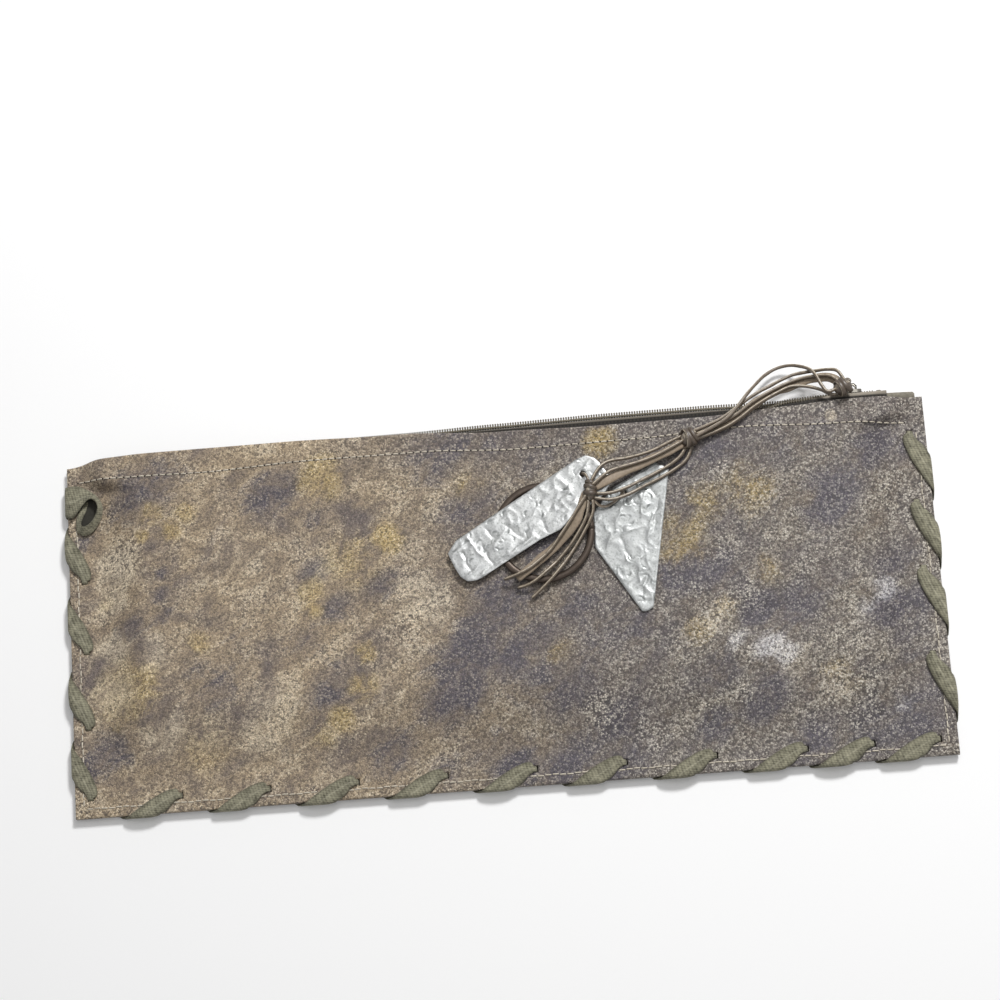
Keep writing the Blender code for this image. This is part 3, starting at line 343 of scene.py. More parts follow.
def along(points, x):
    """Reads a value at x from (x, value) points, with a smooth step between them and flat past both ends"""
    xs, values = np.array(points, float).T
    x = np.clip(x, xs[0], xs[-1])
    i = np.clip(np.searchsorted(xs, x, side="right") - 1, 0, len(xs) - 2)
    return values[i] + (values[i + 1] - values[i]) * smooth((x - xs[i]) / (xs[i + 1] - xs[i]))


lip_points = [
    (-204.5, -0.6), (-188, 1.6), (-165, 2.4), (-100, 2.2), (-42, 1.0), (5, -1.7), (53, -2.8), (100, -2.9),
    (145, -1.0), (163, 0.1), (204.5, -0.2)]
seam_under, crown_under = 3.4, 9.95
crown_top = crown_under + leather


def front_under(x, y):
    """The front panel's underside rises from its seams to the crown, and sooner beside the zip"""
    near_zip = smooth((y - 69.5) / 6.5)
    side = smooth((half_length - abs(x) - (seam_wide - 9 * near_zip)) / (24 - 8 * near_zip))
    return seam_under + (crown_under - seam_under) * side * smooth((y + (half_height - seam_wide)) / 38)


# Soft creases where the pouch has been folded: place, lean, length, width and depth
creases = [
    (118, -14, 0.15, 34, 6, 0.9), (122, -40, -0.1, 30, 7, 0.9), (172, -14, 0.2, 22, 5, 0.7),
    (176, 6, 0.1, 24, 5, 0.6), (150, 30, 0.7, 30, 7, 0.7), (-20, -34, 0.5, 34, 8, 0.7), (-120, 20, 0.6, 44, 9, 0.5),
    (-90, -40, 0.5, 36, 8, 0.5)]


def sag(x, y):
    """Low folds in the middle of the sheet, which only ever go down from the crowned shape"""
    folds = np.sin(x / 19 + 0.6 * np.sin(y / 17))
    folds = folds + 0.8 * np.sin(y / 12 - x / 41 + 1.3) + 0.6 * np.sin((x + y) / 27 + 2)
    inside = smooth((half_length - abs(x) - 20) / 26) * smooth((y + 66) / 30) * smooth((72 - y) / 14)
    low = -0.55 * inside * (0.5 + folds / 4.8)
    for fx, fy, angle, long, wide, deep in creases:
        run = (x - fx) * math.cos(angle) + (y - fy) * math.sin(angle)
        off = (y - fy) * math.cos(angle) - (x - fx) * math.sin(angle) + 0.1 * run ** 2 / long
        low = low - deep * inside * np.exp(-(off / wide) ** 2 - (run / long) ** 2)
    return low


front_leather = crackled_leather(
    "crackled_cowhide_front", tan="#b29e81", plum="#3f3945", cream="#e0d1b8", mustard="#bb9f52",
    dyed=[(-51, 36, 8, 1.0), (-68, 25, 15, 0.55), (-87, 14, 7, 0.8), (-87, 5, 5, 0.8), (-80, 67, 12, 0.75),
        (-146, 56, 6, 0.6), (-154, 48, 6, 0.8), (-167, 46, 4, 0.8), (-163, 57, 7, 0.6), (-188, 16, 5, 1.0),
        (-177, -27, 19, 0.6), (-167, -21, 7, 0.8), (-142, -7, 6, 0.7), (-64, -17, 6, 0.7), (-66, -33, 8, 0.7),
        (-77, -48, 7, 0.8), (-86, -56, 7, 0.6), (-141, -57, 14, 0.5), (-10, 57, 9, 0.5), (52, 74, 8, 1.1),
        (100, 40, 11, 0.7), (87, 26, 14, 0.7), (125, 6, 10, 0.4), (91, -18, 8, 0.55), (154, -46, 9, 0.6),
        (27, -24, 8, 0.5), (118, 46, 16, 0.5), (103, -10, 8, 0.5)],
    # The plum spots at (-195, 47) and (-193, 59), in and below the lacing's curl, are painted shade, and the one at
    # (22, 28) inside the ring is partly plum dye and partly painted shade
    plum_and_shade_spots=[(-166, 69, 15, 0.9), (-158, 28, 4, 0.9), (-159, 18, 5, 0.95), (-195, 47, 7, 1.0), (-175, 3, 8, 0.9),
        (-159, 7, 5, 0.9), (-184, -9, 7, 0.8), (-104, 62, 13, 0.9), (-83, 48, 7, 0.7), (-25, 67, 9, 0.7),
        (-10, 47, 12, 0.9), (-57, 13, 8, 0.9), (-76, 6, 9, 0.8), (-92, -10, 9, 0.7), (-80, -34, 12, 0.8),
        (-134, -30, 10, 0.75), (-144, -21, 8, 0.6), (0, 0, 17, 1.0), (-15, -24, 16, 1.0), (-24, -41, 15, 0.95),
        (-189, -55, 13, 0.9), (-54, -65, 12, 0.9), (-11, -67, 10, 0.8), (86, 12, 10, 1.0), (159, 43, 13, 1.0),
        (180, 61, 12, 1.0), (137, -11, 12, 1.0), (90, 60, 10, 0.8), (195, -13, 12, 0.95), (187, -68, 17, 1.0),
        (118, -56, 11, 0.95), (51, -58, 12, 1.0), (100, -38, 10, 0.9), (-193, 59, 5, 1.0), (22, 28, 11, 1.0),
        (31, -39, 15, 0.9), (36, -4, 10, 0.9), (17, -18, 12, 0.9), (185, 7, 10, 0.9), (123, -45, 9, 0.9),
        (118, 72, 9, 0.6), (-30, 77, 11, 0.6), (0, 76, 10, 0.7), (110, 63, 12, 0.8), (86, 9, 12, 0.7),
        (110, 7, 9, 0.7), (122, -12, 9, 0.6), (25, -78, 11, 1.0), (4, -81, 10, 0.9), (140, -73, 13, 0.9),
        (165, -74, 12, 0.9), (176, -18, 10, 0.6), (190, -24, 11, 0.7), (-130, -20, 11, 0.5), (-124, -7, 7, 0.5),
        (18, 68, 13, 0.6), (40, 66, 9, 0.5), (128, 62, 16, 0.7), (155, 70, 12, 0.6), (92, 8, 14, 0.9),
        (118, 4, 12, 0.7), (122, -14, 10, 0.7), (52, -12, 12, 0.7), (40, -27, 10, 0.7), (52, -76, 12, 1.0),
        (28, -74, 14, 1.0), (0, -77, 12, 0.9), (-30, -76, 10, 0.7), (196, -50, 8, 0.8), (60, 2, 12, 0.6),
        (20, -30, 16, 0.8), (-20, 77, 14, 0.7), (20, 76, 12, 0.6), (110, 77, 14, 0.6), (60, -24, 12, 0.5),
        (86, 11, 9, 1.6), (120, -11, 8, 1.4), (157, 35, 10, 1.3), (181, -15, 9, 1.2), (6, -25, 10, 1.2),
        (-17, -18, 9, 1.2), (2, -76, 11, 1.3), (25, -77, 10, 1.4), (47, -78, 10, 1.3), (95, -65, 9, 1.1),
        (140, -75, 10, 1.2), (189, -37, 7, 1.0), (-86, 22, 7, 1.1), (65, -15, 8, 1.0), (165, -66, 12, 0.9),
        (188, -60, 10, 0.9), (192, -12, 8, 1.2), (196, 60, 9, 1.0), (105, 66, 9, 1.1), (100, 7, 9, 1.2)],
    pale=[(158, -53, 24, 1.0), (114, -6, 13, 0.9), (95, -5, 13, 0.9), (46, -54, 13, 0.9), (69, -62, 15, 0.9),
        (38, -64, 10, 0.6), (188, 32, 15, 1.0), (144, 6, 12, 0.8), (160, -33, 13, 0.9), (106, 30, 17, 0.8),
        (97, 51, 10, 0.7), (-178, 37, 13, 1.0), (-44, -8, 14, 0.8), (-110, 9, 14, 0.5), (-190, 82, 14, 0.6),
        (-8, -60, 12, 0.6), (100, -12, 9, 1.4), (112, -31, 8, 1.2), (132, -34, 8, 1.2), (151, -51, 11, 1.4),
        (43, -54, 10, 1.2), (108, -49, 9, 1.0), (108, 55, 8, 1.0), (190, 46, 9, 1.2)],
    bleached=[(-180, 34, 12, 1.1), (-185, 17, 9, 0.8), (-185, -7, 11, 0.9), (-184, -27, 11, 0.9),
        (-162, -12, 11, 0.7), (-160, -50, 12, 0.7), (-140, -52, 10, 0.6), (-106, -40, 16, 0.6),
        (-113, -55, 14, 0.7), (-35, 3, 14, 0.7), (-84, 21, 14, 0.4), (-118, 31, 14, 0.5), (-166, -47, 10, 0.5),
        (-83, -53, 10, 0.3), (-134, 27, 12, 0.4), (161, 77, 2.8, 1.8), (100, -12, 9, 0.8), (112, -31, 7, 0.6),
        (134, -36, 9, 0.7), (152, -51, 10, 1.0)],
    # Where the foil is glossy, mostly on the lower right, its colour is also painted pale as a highlight
    gloss_and_highlight_spots=[(108, -26, 4, 0.8), (122, -29, 6, 1.0), (130, -33, 5, 1.0), (178, -6, 5, 0.9), (170, -12, 4, 0.6),
        (181, -61, 5, 0.7)])
points, faces = panel_grid(
    lambda x, y: front_under(x, y) + sag(x, y), lambda x: half_height + along(lip_points, x), 1.6)
front = make_piece(
    "front_panel_leather", "pouch", "crackled_leather", front_leather, points, faces, stands_for=["front_panel"])
punch_slots(front)

# Stitching: waxed thread in 3.4 mm stitches that holds the zip tape along the top and runs round
# inside the other edges. Each stitch dives into a punched hole at both ends.


def distances(line):
    """How far along a line each of its points lies"""
    return np.concatenate([[0], np.cumsum(np.linalg.norm(np.diff(line, axis=0), axis=1))])


def loft(rings, shares=None):
    """Skins a row of rings into a closed tube. Its UV runs along it in mm, and round it by the given shares"""
    rings = np.array(rings, float)
    count, size = rings.shape[:2]
    shares = np.linspace(0, 1, size + 1) if shares is None else np.array(shares)
    far = distances(rings.mean(1))
    faces, uv = [], []
    for i in range(count - 1):
        for j in range(size):
            k = (j + 1) % size
            faces.append((i * size + j, i * size + k, (i + 1) * size + k, (i + 1) * size + j))
            uv += [(far[i], shares[j]), (far[i], shares[j + 1]), (far[i + 1], shares[j + 1]), (far[i + 1], shares[j])]
    for i, order in ((0, range(size)[::-1]), (count - 1, range(size))):
        faces.append(tuple(i * size + j for j in order))
        uv += [(far[i], shares[j]) for j in order]
    return rings.reshape(-1, 3), faces, uv


def joined(parts):
    """Several lofts as one set of points, faces and UV"""
    points, faces, uv, first = [], [], [], 0
    for part_points, part_faces, part_uv in parts:
        points.append(part_points)
        faces += [tuple(first + k for k in face) for face in part_faces]
        uv += part_uv
        first += len(part_points)
    return np.concatenate(points), faces, uv


def tube_rings(line, radii, sides, flat=1.0):
    """Rings round a line that don't twist. Flat makes them wider than thick, level with the table"""
    line = np.array(line, float)
    runs = np.gradient(line, axis=0)
    runs /= np.linalg.norm(runs, axis=1)[:, None]
    side = np.cross(runs[0], (0, 0, 1.0))
    side = side if np.linalg.norm(side) > 0.1 else np.array((0, 1.0, 0))
    rings = []
    for point, run, radius in zip(line, runs, np.broadcast_to(radii, len(line))):
        if flat != 1.0 and abs(run[2]) < 0.9:
            side = np.cross(run, (0, 0, 1.0))
        side = side - run * np.dot(side, run)
        side /= np.linalg.norm(side)
        over = np.cross(side, run)
        turn = np.linspace(0, 2 * np.pi, sides, endpoint=False)[:, None]
        wide, tall = np.cos(turn), np.sin(turn)
        if flat != 1.0:
            wide, tall = np.sign(wide) * abs(wide) ** 0.8, np.sign(tall) * abs(tall) ** 0.8 * 1.3
        rings.append(point + side * wide * radius * flat + over * tall * radius)
    return rings


def front_top(x, y):
    return front_under(x, y) + sag(x, y) + leather


def even_points(points, pitch, smoothed=True):
    """Points a pitch apart along a line over the front panel"""
    points = np.array(points, float)
    if smoothed:
        x = np.arange(points[0][0], points[-1][0], 0.5)
        points = np.stack([x, along(points, x)], 1)
    far = distances(points)
    stops = np.arange(0, far[-1], pitch)
    return np.stack([np.interp(stops, far, points[:, k]) for k in (0, 1)], 1)


def worn_finish(name, dark, light, patch, detail=4.0, rough=0.7, relief=None, dulling=None, **sockets):
    """A finish that wavers between two colours in patches of so many millimetres. Relief is how strongly the
    patches stand up and by how many millimetres, and dulling the roughness of the dark and of the light ones"""
    finish = new_finish(name, **sockets)
    place = add_node(finish, "TexCoord").outputs["Object"]
    patches = add_node(finish, "TexNoise", {
        "Vector": place, "Scale": 1 / (patch * mm), "Detail": detail, "Roughness": rough})
    feed(finish, Base_Color=add_node(finish, "Mix", {0: patches, 6: dark, 7: light}, data_type="RGBA"))
    if relief:
        feed(finish, Normal=add_node(finish, "Bump", {
            "Height": patches, "Strength": relief[0], "Distance": relief[1] * mm}))
    if dulling:
        feed(finish, Roughness=add_node(finish, "MapRange", {
            "Value": patches, "To Min": dulling[0], "To Max": dulling[1]}))
    return finish


top_line = [(-199, 76.2), (-170, 75.6), (-135, 74.9), (-88, 76.3), (-33, 75.9), (14, 73.4), (71, 73.6),
            (118, 75.2), (163, 73.2), (189, 72.2), (199, 72.0)]
stitch, thread_radius, hole_radius = 3.4, 0.34, 0.46
holes = even_points(top_line, stitch)
threads, pits = [], []
for a, b in zip(holes, holes[1:]):
    shares = np.linspace(0, 1, 7)
    line = [(*(a + (b - a) * (0.15 + 0.7 * s)), 0) for s in shares]
    line = [(x, y, front_top(x, y) - 0.22 + 0.42 * math.sin(math.pi * (0.08 + 0.84 * s)))
            for (x, y, _), s in zip(line, shares)]
    threads.append(loft(tube_rings(line, thread_radius, 6)))
for x, y in holes:
    rim = [(x + hole_radius * math.cos(a), y + hole_radius * math.sin(a))
           for a in np.linspace(0, 2 * math.pi, 8, endpoint=False)]
    pits.append(loft([[(px, py, front_top(px, py) + z) for px, py in rim] for z in (-0.5, 0.04)]))
# Waxed linen is off-white with a faint gleam, and greyed here and there by dirt that the wax has caught
thread_finish = worn_finish("waxed_linen_thread", "#8b8070", "#ece3d2", 6, 3.0, 0.5, Roughness=0.7)
# The bottom of a punched hole is raw leather in shadow: plain, matt and almost black
hole_finish = new_finish("punched_hole", Roughness=0.9, Base_Color="#2b2522")
points, faces, uv = joined(threads)
make_piece("top_stitching", "pouch", "crackled_leather", thread_finish, points, faces, uv)
edge_threads = []
for first, last in (((-200.1, -79), (-200.1, 72)), ((-199, -80.1), (199, -80.1)), ((200.1, -79), (200.1, 68))):
    row = even_points([first, last], stitch, False)
    for number, (a, b) in enumerate(zip(row, row[1:])):
        along_row = (b - a) / np.linalg.norm(b - a)
        drift = np.array((-along_row[1], along_row[0])) * 0.2 * math.sin(number * 1.7)
        line = [a + drift + (b - a) * (0.10 + 0.80 * t) for t in np.linspace(0, 1, 7)]
        line = [(x, y, front_top(x, y) - 0.1 + 0.3 * math.sin(math.pi * (0.08 + 0.14 * k)))
                for k, (x, y) in enumerate(line)]
        edge_threads.append(loft(tube_rings(line, thread_radius, 6)))
points, faces, uv = joined(edge_threads)
make_piece("edge_stitching", "pouch", "crackled_leather", thread_finish, points, faces, uv)
points, faces, uv = joined(pits)
make_piece("top_stitch_holes", "pouch", "crackled_leather", hole_finish, points, faces, uv)

# Zip: two rows of brass teeth clamped on woven tapes. The rows lie flat in the open mouth, and turn
# on edge where the slider brings them together.

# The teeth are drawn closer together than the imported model's, which are 1.82 mm apart
tooth_pitch, tip_reach, rail_half, bead_radius, tape_clear, tape_thick = 1.21, 1.7, 0.5, 0.56, 0.475, 0.35
chain_y = 87.4
rows_left, rows_right = -179.6, 183.1
quarter = math.pi / 2
front_row_path = [
    (-179.6, 85.1, 8.2, 0), (-150, 84.7, 8.5, 0), (-100, 84.6, 8.5, 0), (-42, 83.0, 8.5, 0), (5, 80.4, 8.5, 0),
    (53, 79.1, 8.5, 0), (100, 79.6, 8.5, 0), (125, 82.8, 8.5, -0.05), (145, 85.8, 8.5, -0.5), (158, 87.0, 8.4, -1.2),
    (165.1, 87.4, 8.175, -quarter), (167.8, 87.4, 7.875, -quarter), (171.2, 87.4, 7.025, -quarter),
    (183.1, 87.4, 7.025, -quarter)]
back_row_path = [
    (-179.6, 86.3, 2.5, 0), (-150, 86.3, 2.2, 0), (-42, 86.4, 2.2, 0), (5, 87.1, 2.4, 0), (53, 87.6, 2.6, 0),
    (100, 87.4, 2.5, 0), (125, 86.9, 2.3, 0.05), (145, 86.6, 2.5, 0.5), (158, 87.1, 3.2, 1.2),
    (165.1, 87.4, 3.375, quarter), (167.8, 87.4, 3.675, quarter), (171.2, 87.4, 4.525, quarter),
    (183.1, 87.4, 4.525, quarter)]


def row_frame(path, x):
    """Rail centre, the way the teeth point and the way across their thickness"""
    y, z, turn = (float(along([(p[0], p[k]) for p in path], x)) for k in (1, 2, 3))
    return (np.array((x, y, z)), np.array((0, math.cos(turn), math.sin(turn))),
            np.array((0, -math.sin(turn), math.cos(turn))))


def tooth_row(path, start):
    """Each tooth is a clamped U of brass: a broad foot on the bead, a neck and a rounded head"""
    parts = []
    # How far along the tooth, and half its width and its thickness there
    shape = [(-0.62, 0.30, 0.62), (-0.5, 0.38, 0.95), (0.35, 0.38, 0.98), (0.62, 0.30, 0.80), (1.0, 0.30, 0.78),
             (1.3, 0.40, 0.88), (1.55, 0.38, 0.80), (tip_reach, 0.24, 0.5)]
    for k in range(int((rows_right - start) / tooth_pitch)):
        centre, point, across = row_frame(path, start + (k + 0.5) * tooth_pitch)
        rings = []
        for reach, wide, thick in shape:
            rings.append([
                centre + point * reach + np.array((a * wide, 0, 0)) + across * b * thick
                for a, b in ((-1, -0.6), (-0.6, -1), (0.6, -1), (1, -0.6), (1, 0.6), (0.6, 1), (-0.6, 1), (-1, 0.6))])
        parts.append(loft(rings))
    line = [row_frame(path, x)[0] for x in np.arange(start, rows_right - 0.9, 1.82)]
    return joined(parts), loft(tube_rings(line, bead_radius, 8))


# Brass that was never polished again: brown where it has tarnished, with a dull yellow gleam where it is rubbed
brass = worn_finish("old_brass", "#3d372d", "#766e5e", 3, rough=0.6, dulling=(0.75, 0.5), Metallic=0.5)

# Woven polyester tape: threads that cross in a fine matt grid, coloured almost black as painted shade inside the mouth
tape_cloth = new_finish("woven_tape_painted_light_and_shade", Roughness=0.85, Sheen_Weight=0.15)
place = add_node(tape_cloth, "TexCoord").outputs["Object"]
# A wave has 3.2 bands to a unit of its scale, so dividing by 6.2 draws the threads twice as coarse, so that they show
thread_pitch = 0.9
crossing = [add_node(tape_cloth, "TexWave", {
    "Vector": place, "Scale": 1 / (thread_pitch * mm) / 6.2, "Distortion": 0.6},
    bands_direction=way).outputs["Fac"] for way in "XY"]
weave = add_node(tape_cloth, "Math", dict(enumerate(crossing)), operation="MULTIPLY")
tone = add_node(tape_cloth, "Mix", {
    0: weave, 6: "#14110e", 7: "#332e27"}, data_type="RGBA")
bump = add_node(tape_cloth, "Bump", {"Height": weave, "Strength": 0.5, "Distance": 0.1 * mm})
# Beside the back row, and where the zip is closed, it turns taupe: painted light where the light falls on it
spot = add_node(tape_cloth, "SeparateXYZ", {0: place})
beside, behind, closed = (add_node(tape_cloth, "MapRange", {
    "Value": spot.outputs[way], "From Min": start, "From Max": end}) for way, start, end in (
        ("Y", (bag_y + 85.6) * mm, (bag_y + 86.3) * mm), ("Z", 5.5 * mm, 4.5 * mm), ("X", 0.15, 0.16)))
reached = add_node(tape_cloth, "Math", {0: behind, 1: closed}, operation="MAXIMUM")
painted_light_share = add_node(tape_cloth, "Math", {0: beside, 1: reached}, operation="MULTIPLY")
tone = add_node(tape_cloth, "Mix", {0: painted_light_share, 6: tone, 7: "#8f877b"}, data_type="RGBA")
feed(tape_cloth, Base_Color=tone, Normal=bump)

# The cord that the teeth are clamped on, and the tape's folded end, are rubbed to a paler taupe
rubbed_cloth = worn_finish("rubbed_cotton_bead", "#4c483f", "#a19a8b", 1.1, relief=(0.5, 0.15), Roughness=0.85)

for name, path, start in (
        ("teeth_row_front", front_row_path, rows_left), ("teeth_row_back", back_row_path, rows_left + 0.6)):
    row, bead = tooth_row(path, start)
    make_piece(name + "_brass", "pouch", "zip_metal", brass, *row, stands_for=[name], crease=40)
    make_piece(name + "_bead", "pouch", "zip_tape_cloth", rubbed_cloth, *bead)


def corner_cut(points, rounds):
    """Softens the corners of an open line by cutting them, with its ends kept"""
    points = np.array(points, float)
    for _ in range(rounds):
        a, b = points[:-1], points[1:]
        fine = np.stack([0.75 * a + 0.25 * b, 0.25 * a + 0.75 * b], 1).reshape(-1, *points.shape[1:])
        points = np.concatenate([points[:1], fine, points[-1:]])
    return points


def tape(path, tape_z, side, under):
    """A tape from its row of teeth to the panel that it is sewn under"""
    rings = []
    for x in np.unique(np.concatenate([
            [rows_left - 4, rows_left], np.arange(-177, 160, 2.0), np.arange(160, 183.5, 0.7), [188.0]])):
        centre, point, _ = row_frame(path, x)
        line = [centre - point * (rail_half + 0.3), centre - point * (rail_half + 1.9)]
        outer_x = math.copysign(abs(x) + 3, x)
        if line[1][1] < half_height + 1:
            line[1][2] = under(outer_x, line[1][1]) + side * tape_clear
        elif abs(line[1][2] - tape_z) < 0.7 or (line[1][2] - tape_z) * side < 0:
            line[1][2] = tape_z
        for y in (min(line[1][1] - 1.8, chain_y - 3.4), half_height - 10.5):
            line.append(np.array((x, y, under(outer_x, y) + side * tape_clear)))
        line = corner_cut(line, 2)
        run = np.gradient(line, axis=0)
        run /= np.linalg.norm(run, axis=1)[:, None]
        normal = np.stack([0 * run[:, 0], -run[:, 2], run[:, 1]], 1) * tape_thick / 2
        rings.append(np.concatenate([line + normal, (line - normal)[::-1]]))
    return loft(rings)


make_piece("zip_tape_front_cloth", "pouch", "zip_tape_cloth", tape_cloth,
           *tape(front_row_path, crown_under - tape_clear, -1, front_under), stands_for=["zip_tape_front"])
make_piece("zip_tape_back_cloth", "pouch", "zip_tape_cloth", tape_cloth,
           *tape(back_row_path, leather + tape_clear, 1, lambda x, y: back_under(x, y) + leather),
           stands_for=["zip_tape_back"])
# Past the last tooth both tapes are folded together, and show as a band above the panel's edge
fold_y, fold_z = 84.1, 4.3
fold_outline = [(0, 0.12), (0.5, 0.4), (1.6, 0.8), (2.9, 0.85), (3.3, 0.4)]
fold_outline = [(deep, -lift) for deep, lift in fold_outline] + fold_outline[::-1]
folded = [[(x, fold_y + deep * share, fold_z + lift * share) for deep, lift in fold_outline] for x, share in (
    (184.0, 0.7), (184.6, 1.0), (190, 0.96), (196, 0.9), (200.4, 0.84), (201.2, 0.6))]
make_piece("zip_tape_end_cloth", "pouch", "zip_tape_cloth", rubbed_cloth, *loft(folded))
for name in ("top_stop_front", "top_stop_back", "bottom_stop"):
    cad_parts[name].data.materials.clear()
    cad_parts[name].data.materials.append(brass)

# Slider: a die-cast body with a bail on its face, tumbled and plated an old nickel, its edges
# worn soft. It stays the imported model's own shape, with its edges rounded.

# Nickel plate on cast zinc: a soft grey mirror, clouded and browned where the plate is worn
nickel = worn_finish(
    "plated_zinc_slider", "#3d3b36", "#85817a", 2, 5.0, relief=(0.2, 0.1), Metallic=1.0, Roughness=0.34)
work = bmesh.new()
work.from_mesh(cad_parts["slider_body"].data)
bmesh.ops.remove_doubles(work, verts=work.verts, dist=0.01 * mm)
bmesh.ops.dissolve_limit(work, angle_limit=math.radians(2), verts=work.verts, edges=work.edges)
sharp = [e for e in work.edges if len(e.link_faces) == 2 and e.calc_face_angle(0) > 0.6]
bmesh.ops.bevel(work, geom=sharp, offset=0.16 * mm, segments=2, affect="EDGES", clamp_overlap=True)
slider_mesh = bpy.data.meshes.new("slider_casting")
work.to_mesh(slider_mesh)
work.free()
slider_mesh.shade_smooth()
slider_mesh.set_sharp_from_angle(angle=math.radians(35))
slider_mesh.materials.clear()
slider_mesh.materials.append(nickel)
slider = add_object("slider_casting", slider_mesh)
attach(slider, "slider")
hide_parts("slider_body")

# Lacing: one flat olive ribbon, ribbed along its length, whipped through the slots round three
# edges. On the front each turn fans out into a leaf that narrows to its slot.

seam_top = seam_under + leather
lace_front, lace_back, wrap, skew = 5.8, 0.7, 0.8, 5.5
front_up, back_down = np.array((0, 0, 1.0)), np.array((0, 0, -1.0))
rulings = []
turned = False


def rule(a, b, facing):
    """Adds a line across the ribbon. It changes face at every slot, so its two ends change places"""
    facing = facing / np.linalg.norm(facing)
    rulings.append((b, a, -facing) if turned else (a, b, facing))


edge, far, leaf = slots[0]
tail = far - leaf - 1.3 * skew
rule(edge.at(tail, 13, lace_back), edge.at(tail + 12, 13, lace_back), back_down)
inner, outer = slot_inset + 3, slot_inset - 3
pinched = 1.35  # half the ribbon's width where it is gathered into a slot
for edge, far, leaf in slots:
    width, apex, outside = 0.62 * leaf, far - leaf, -edge.inward
    for out, z, facing, share in (
            (0.0, lace_back, back_down, 1.0), (0.56, 0.94, outside + back_down, 0.85), (wrap, 1.5, outside, 0.75),
            (wrap, seam_top, outside, 0.25), (0.56, seam_top + 0.56, outside + front_up, 0.15),
            (0.0, lace_front, front_up, 0.0)):
        rule(edge.at(apex - skew * share, -out, z), edge.at(apex - skew * share + width, -out, z), facing)
    for share, depth, back_far, back_depth in (
            (0.30, 0.48, 1.06, 0.02), (0.60, 0.86, 1.16, 0.10), (0.82, 1.04, 1.29, 0.28), (0.94, 1.02, 1.40, 0.48)):
        rule(edge.at(apex + share * leaf, depth * inner, lace_front),
             edge.at(apex + back_far * width, back_depth * inner, lace_front), front_up)
    gather = [slot_inset + pinched, slot_inset - pinched]
    rule(*[edge.at(far - 0.8, deep, lace_front) for deep in gather], front_up)
    turned = not turned
    for step, z, facing in (
            (-0.35, lace_front - 0.35, back_down - edge.travel), (0, seam_top - 0.4, -edge.travel),
            (0, 2.0, -edge.travel), (0.35, lace_back + 0.35, back_down - edge.travel)):
        rule(*[edge.at(far + step, deep, z) for deep in gather[::-1]], facing)
    rule(edge.at(far + 2.4, outer, lace_back), edge.at(far + 2.4, inner, lace_back), back_down)
rule(right_edge.at(162, outer, lace_back), right_edge.at(162, inner, lace_back), back_down)


def ribbon(lines, crown):
    """A flat strip through ruled lines: soft at its bends, a little thinner at its selvedges"""
    a, b, facing = (corner_cut([line[k] for line in lines], 2) for k in range(3))
    facing /= np.linalg.norm(facing, axis=1)[:, None]
    share = np.linspace(0, 1, 11)
    half = 0.5 * np.clip(1.25 * (1 - (2 * share - 1) ** 6), 0.35, 1)
    rings = []
    for p, q, n in zip(a, b, facing):
        width = np.linalg.norm(q - p)
        middle = p + (q - p) * share[:, None]
        puff = crown * min(width / 12, 1) * 4 * share * (1 - share) * max(n[2], 0)
        over = middle + n * (half + puff)[:, None]
        under = middle + n * (puff - half)[:, None]
        rings.append(np.concatenate([over, under[::-1]]))
    return loft(rings, np.concatenate([share, share[::-1], [0]]))


# Ribbed olive ribbon: matt, crossed by fine pale ribs, dark at the selvedges and rubbed pale along its fold
olive_ribbon = new_finish("olive_grosgrain_ribbon", Roughness=0.85, Sheen_Weight=0.1)
flow = add_node(olive_ribbon, "SeparateXYZ", {0: add_node(olive_ribbon, "TexCoord").outputs["UV"]})
place = add_node(olive_ribbon, "TexCoord").outputs["Object"]
# Two sets of ribs, 1.0 and 1.3 mm apart, stand for a weave of about half that, so that it shows
lattice = None
for pitch, slant in ((1.0, (0.15, 0.94, 0.3)), (1.3, (0.85, 0.30, 0.42))):
    across = add_node(olive_ribbon, "VectorMath", {
        0: place, 1: tuple(2 * math.pi / (pitch * mm) * k for k in slant)}, operation="DOT_PRODUCT")
    rib = add_node(olive_ribbon, "Math", {0: across}, operation="SINE")
    lattice = rib if lattice is None else add_node(
        olive_ribbon, "Math", {0: lattice, 1: rib}, operation="ADD")
slub = add_node(olive_ribbon, "TexNoise", {
    "Vector": place, "Scale": 1 / (2.6 * mm), "Detail": 5.0, "Roughness": 0.75})
mixed = add_node(olive_ribbon, "Math", {0: lattice, 1: 0.055, 2: slub}, operation="MULTIPLY_ADD")
shade = add_node(olive_ribbon, "MapRange", {"Value": mixed, "From Min": 0.26, "From Max": 0.76})
tone = add_node(olive_ribbon, "Mix", {
    0: shade, 6: "#3c3a2d", 7: "#a19d86"}, data_type="RGBA")
# The selvedges are rubbed darker
to_edge = add_node(olive_ribbon, "Math", {0: flow.outputs["Y"], 1: 0.5}, operation="SUBTRACT")
to_edge = add_node(olive_ribbon, "Math", {0: to_edge}, operation="ABSOLUTE")
selvedge = add_node(olive_ribbon, "MapRange", {
    "Value": to_edge, "From Min": 0.34, "From Max": 0.5, "To Max": 0.55})
darker = add_node(olive_ribbon, "Mix", {
    0: selvedge, 6: tone, 7: "#3a3829"}, data_type="RGBA")
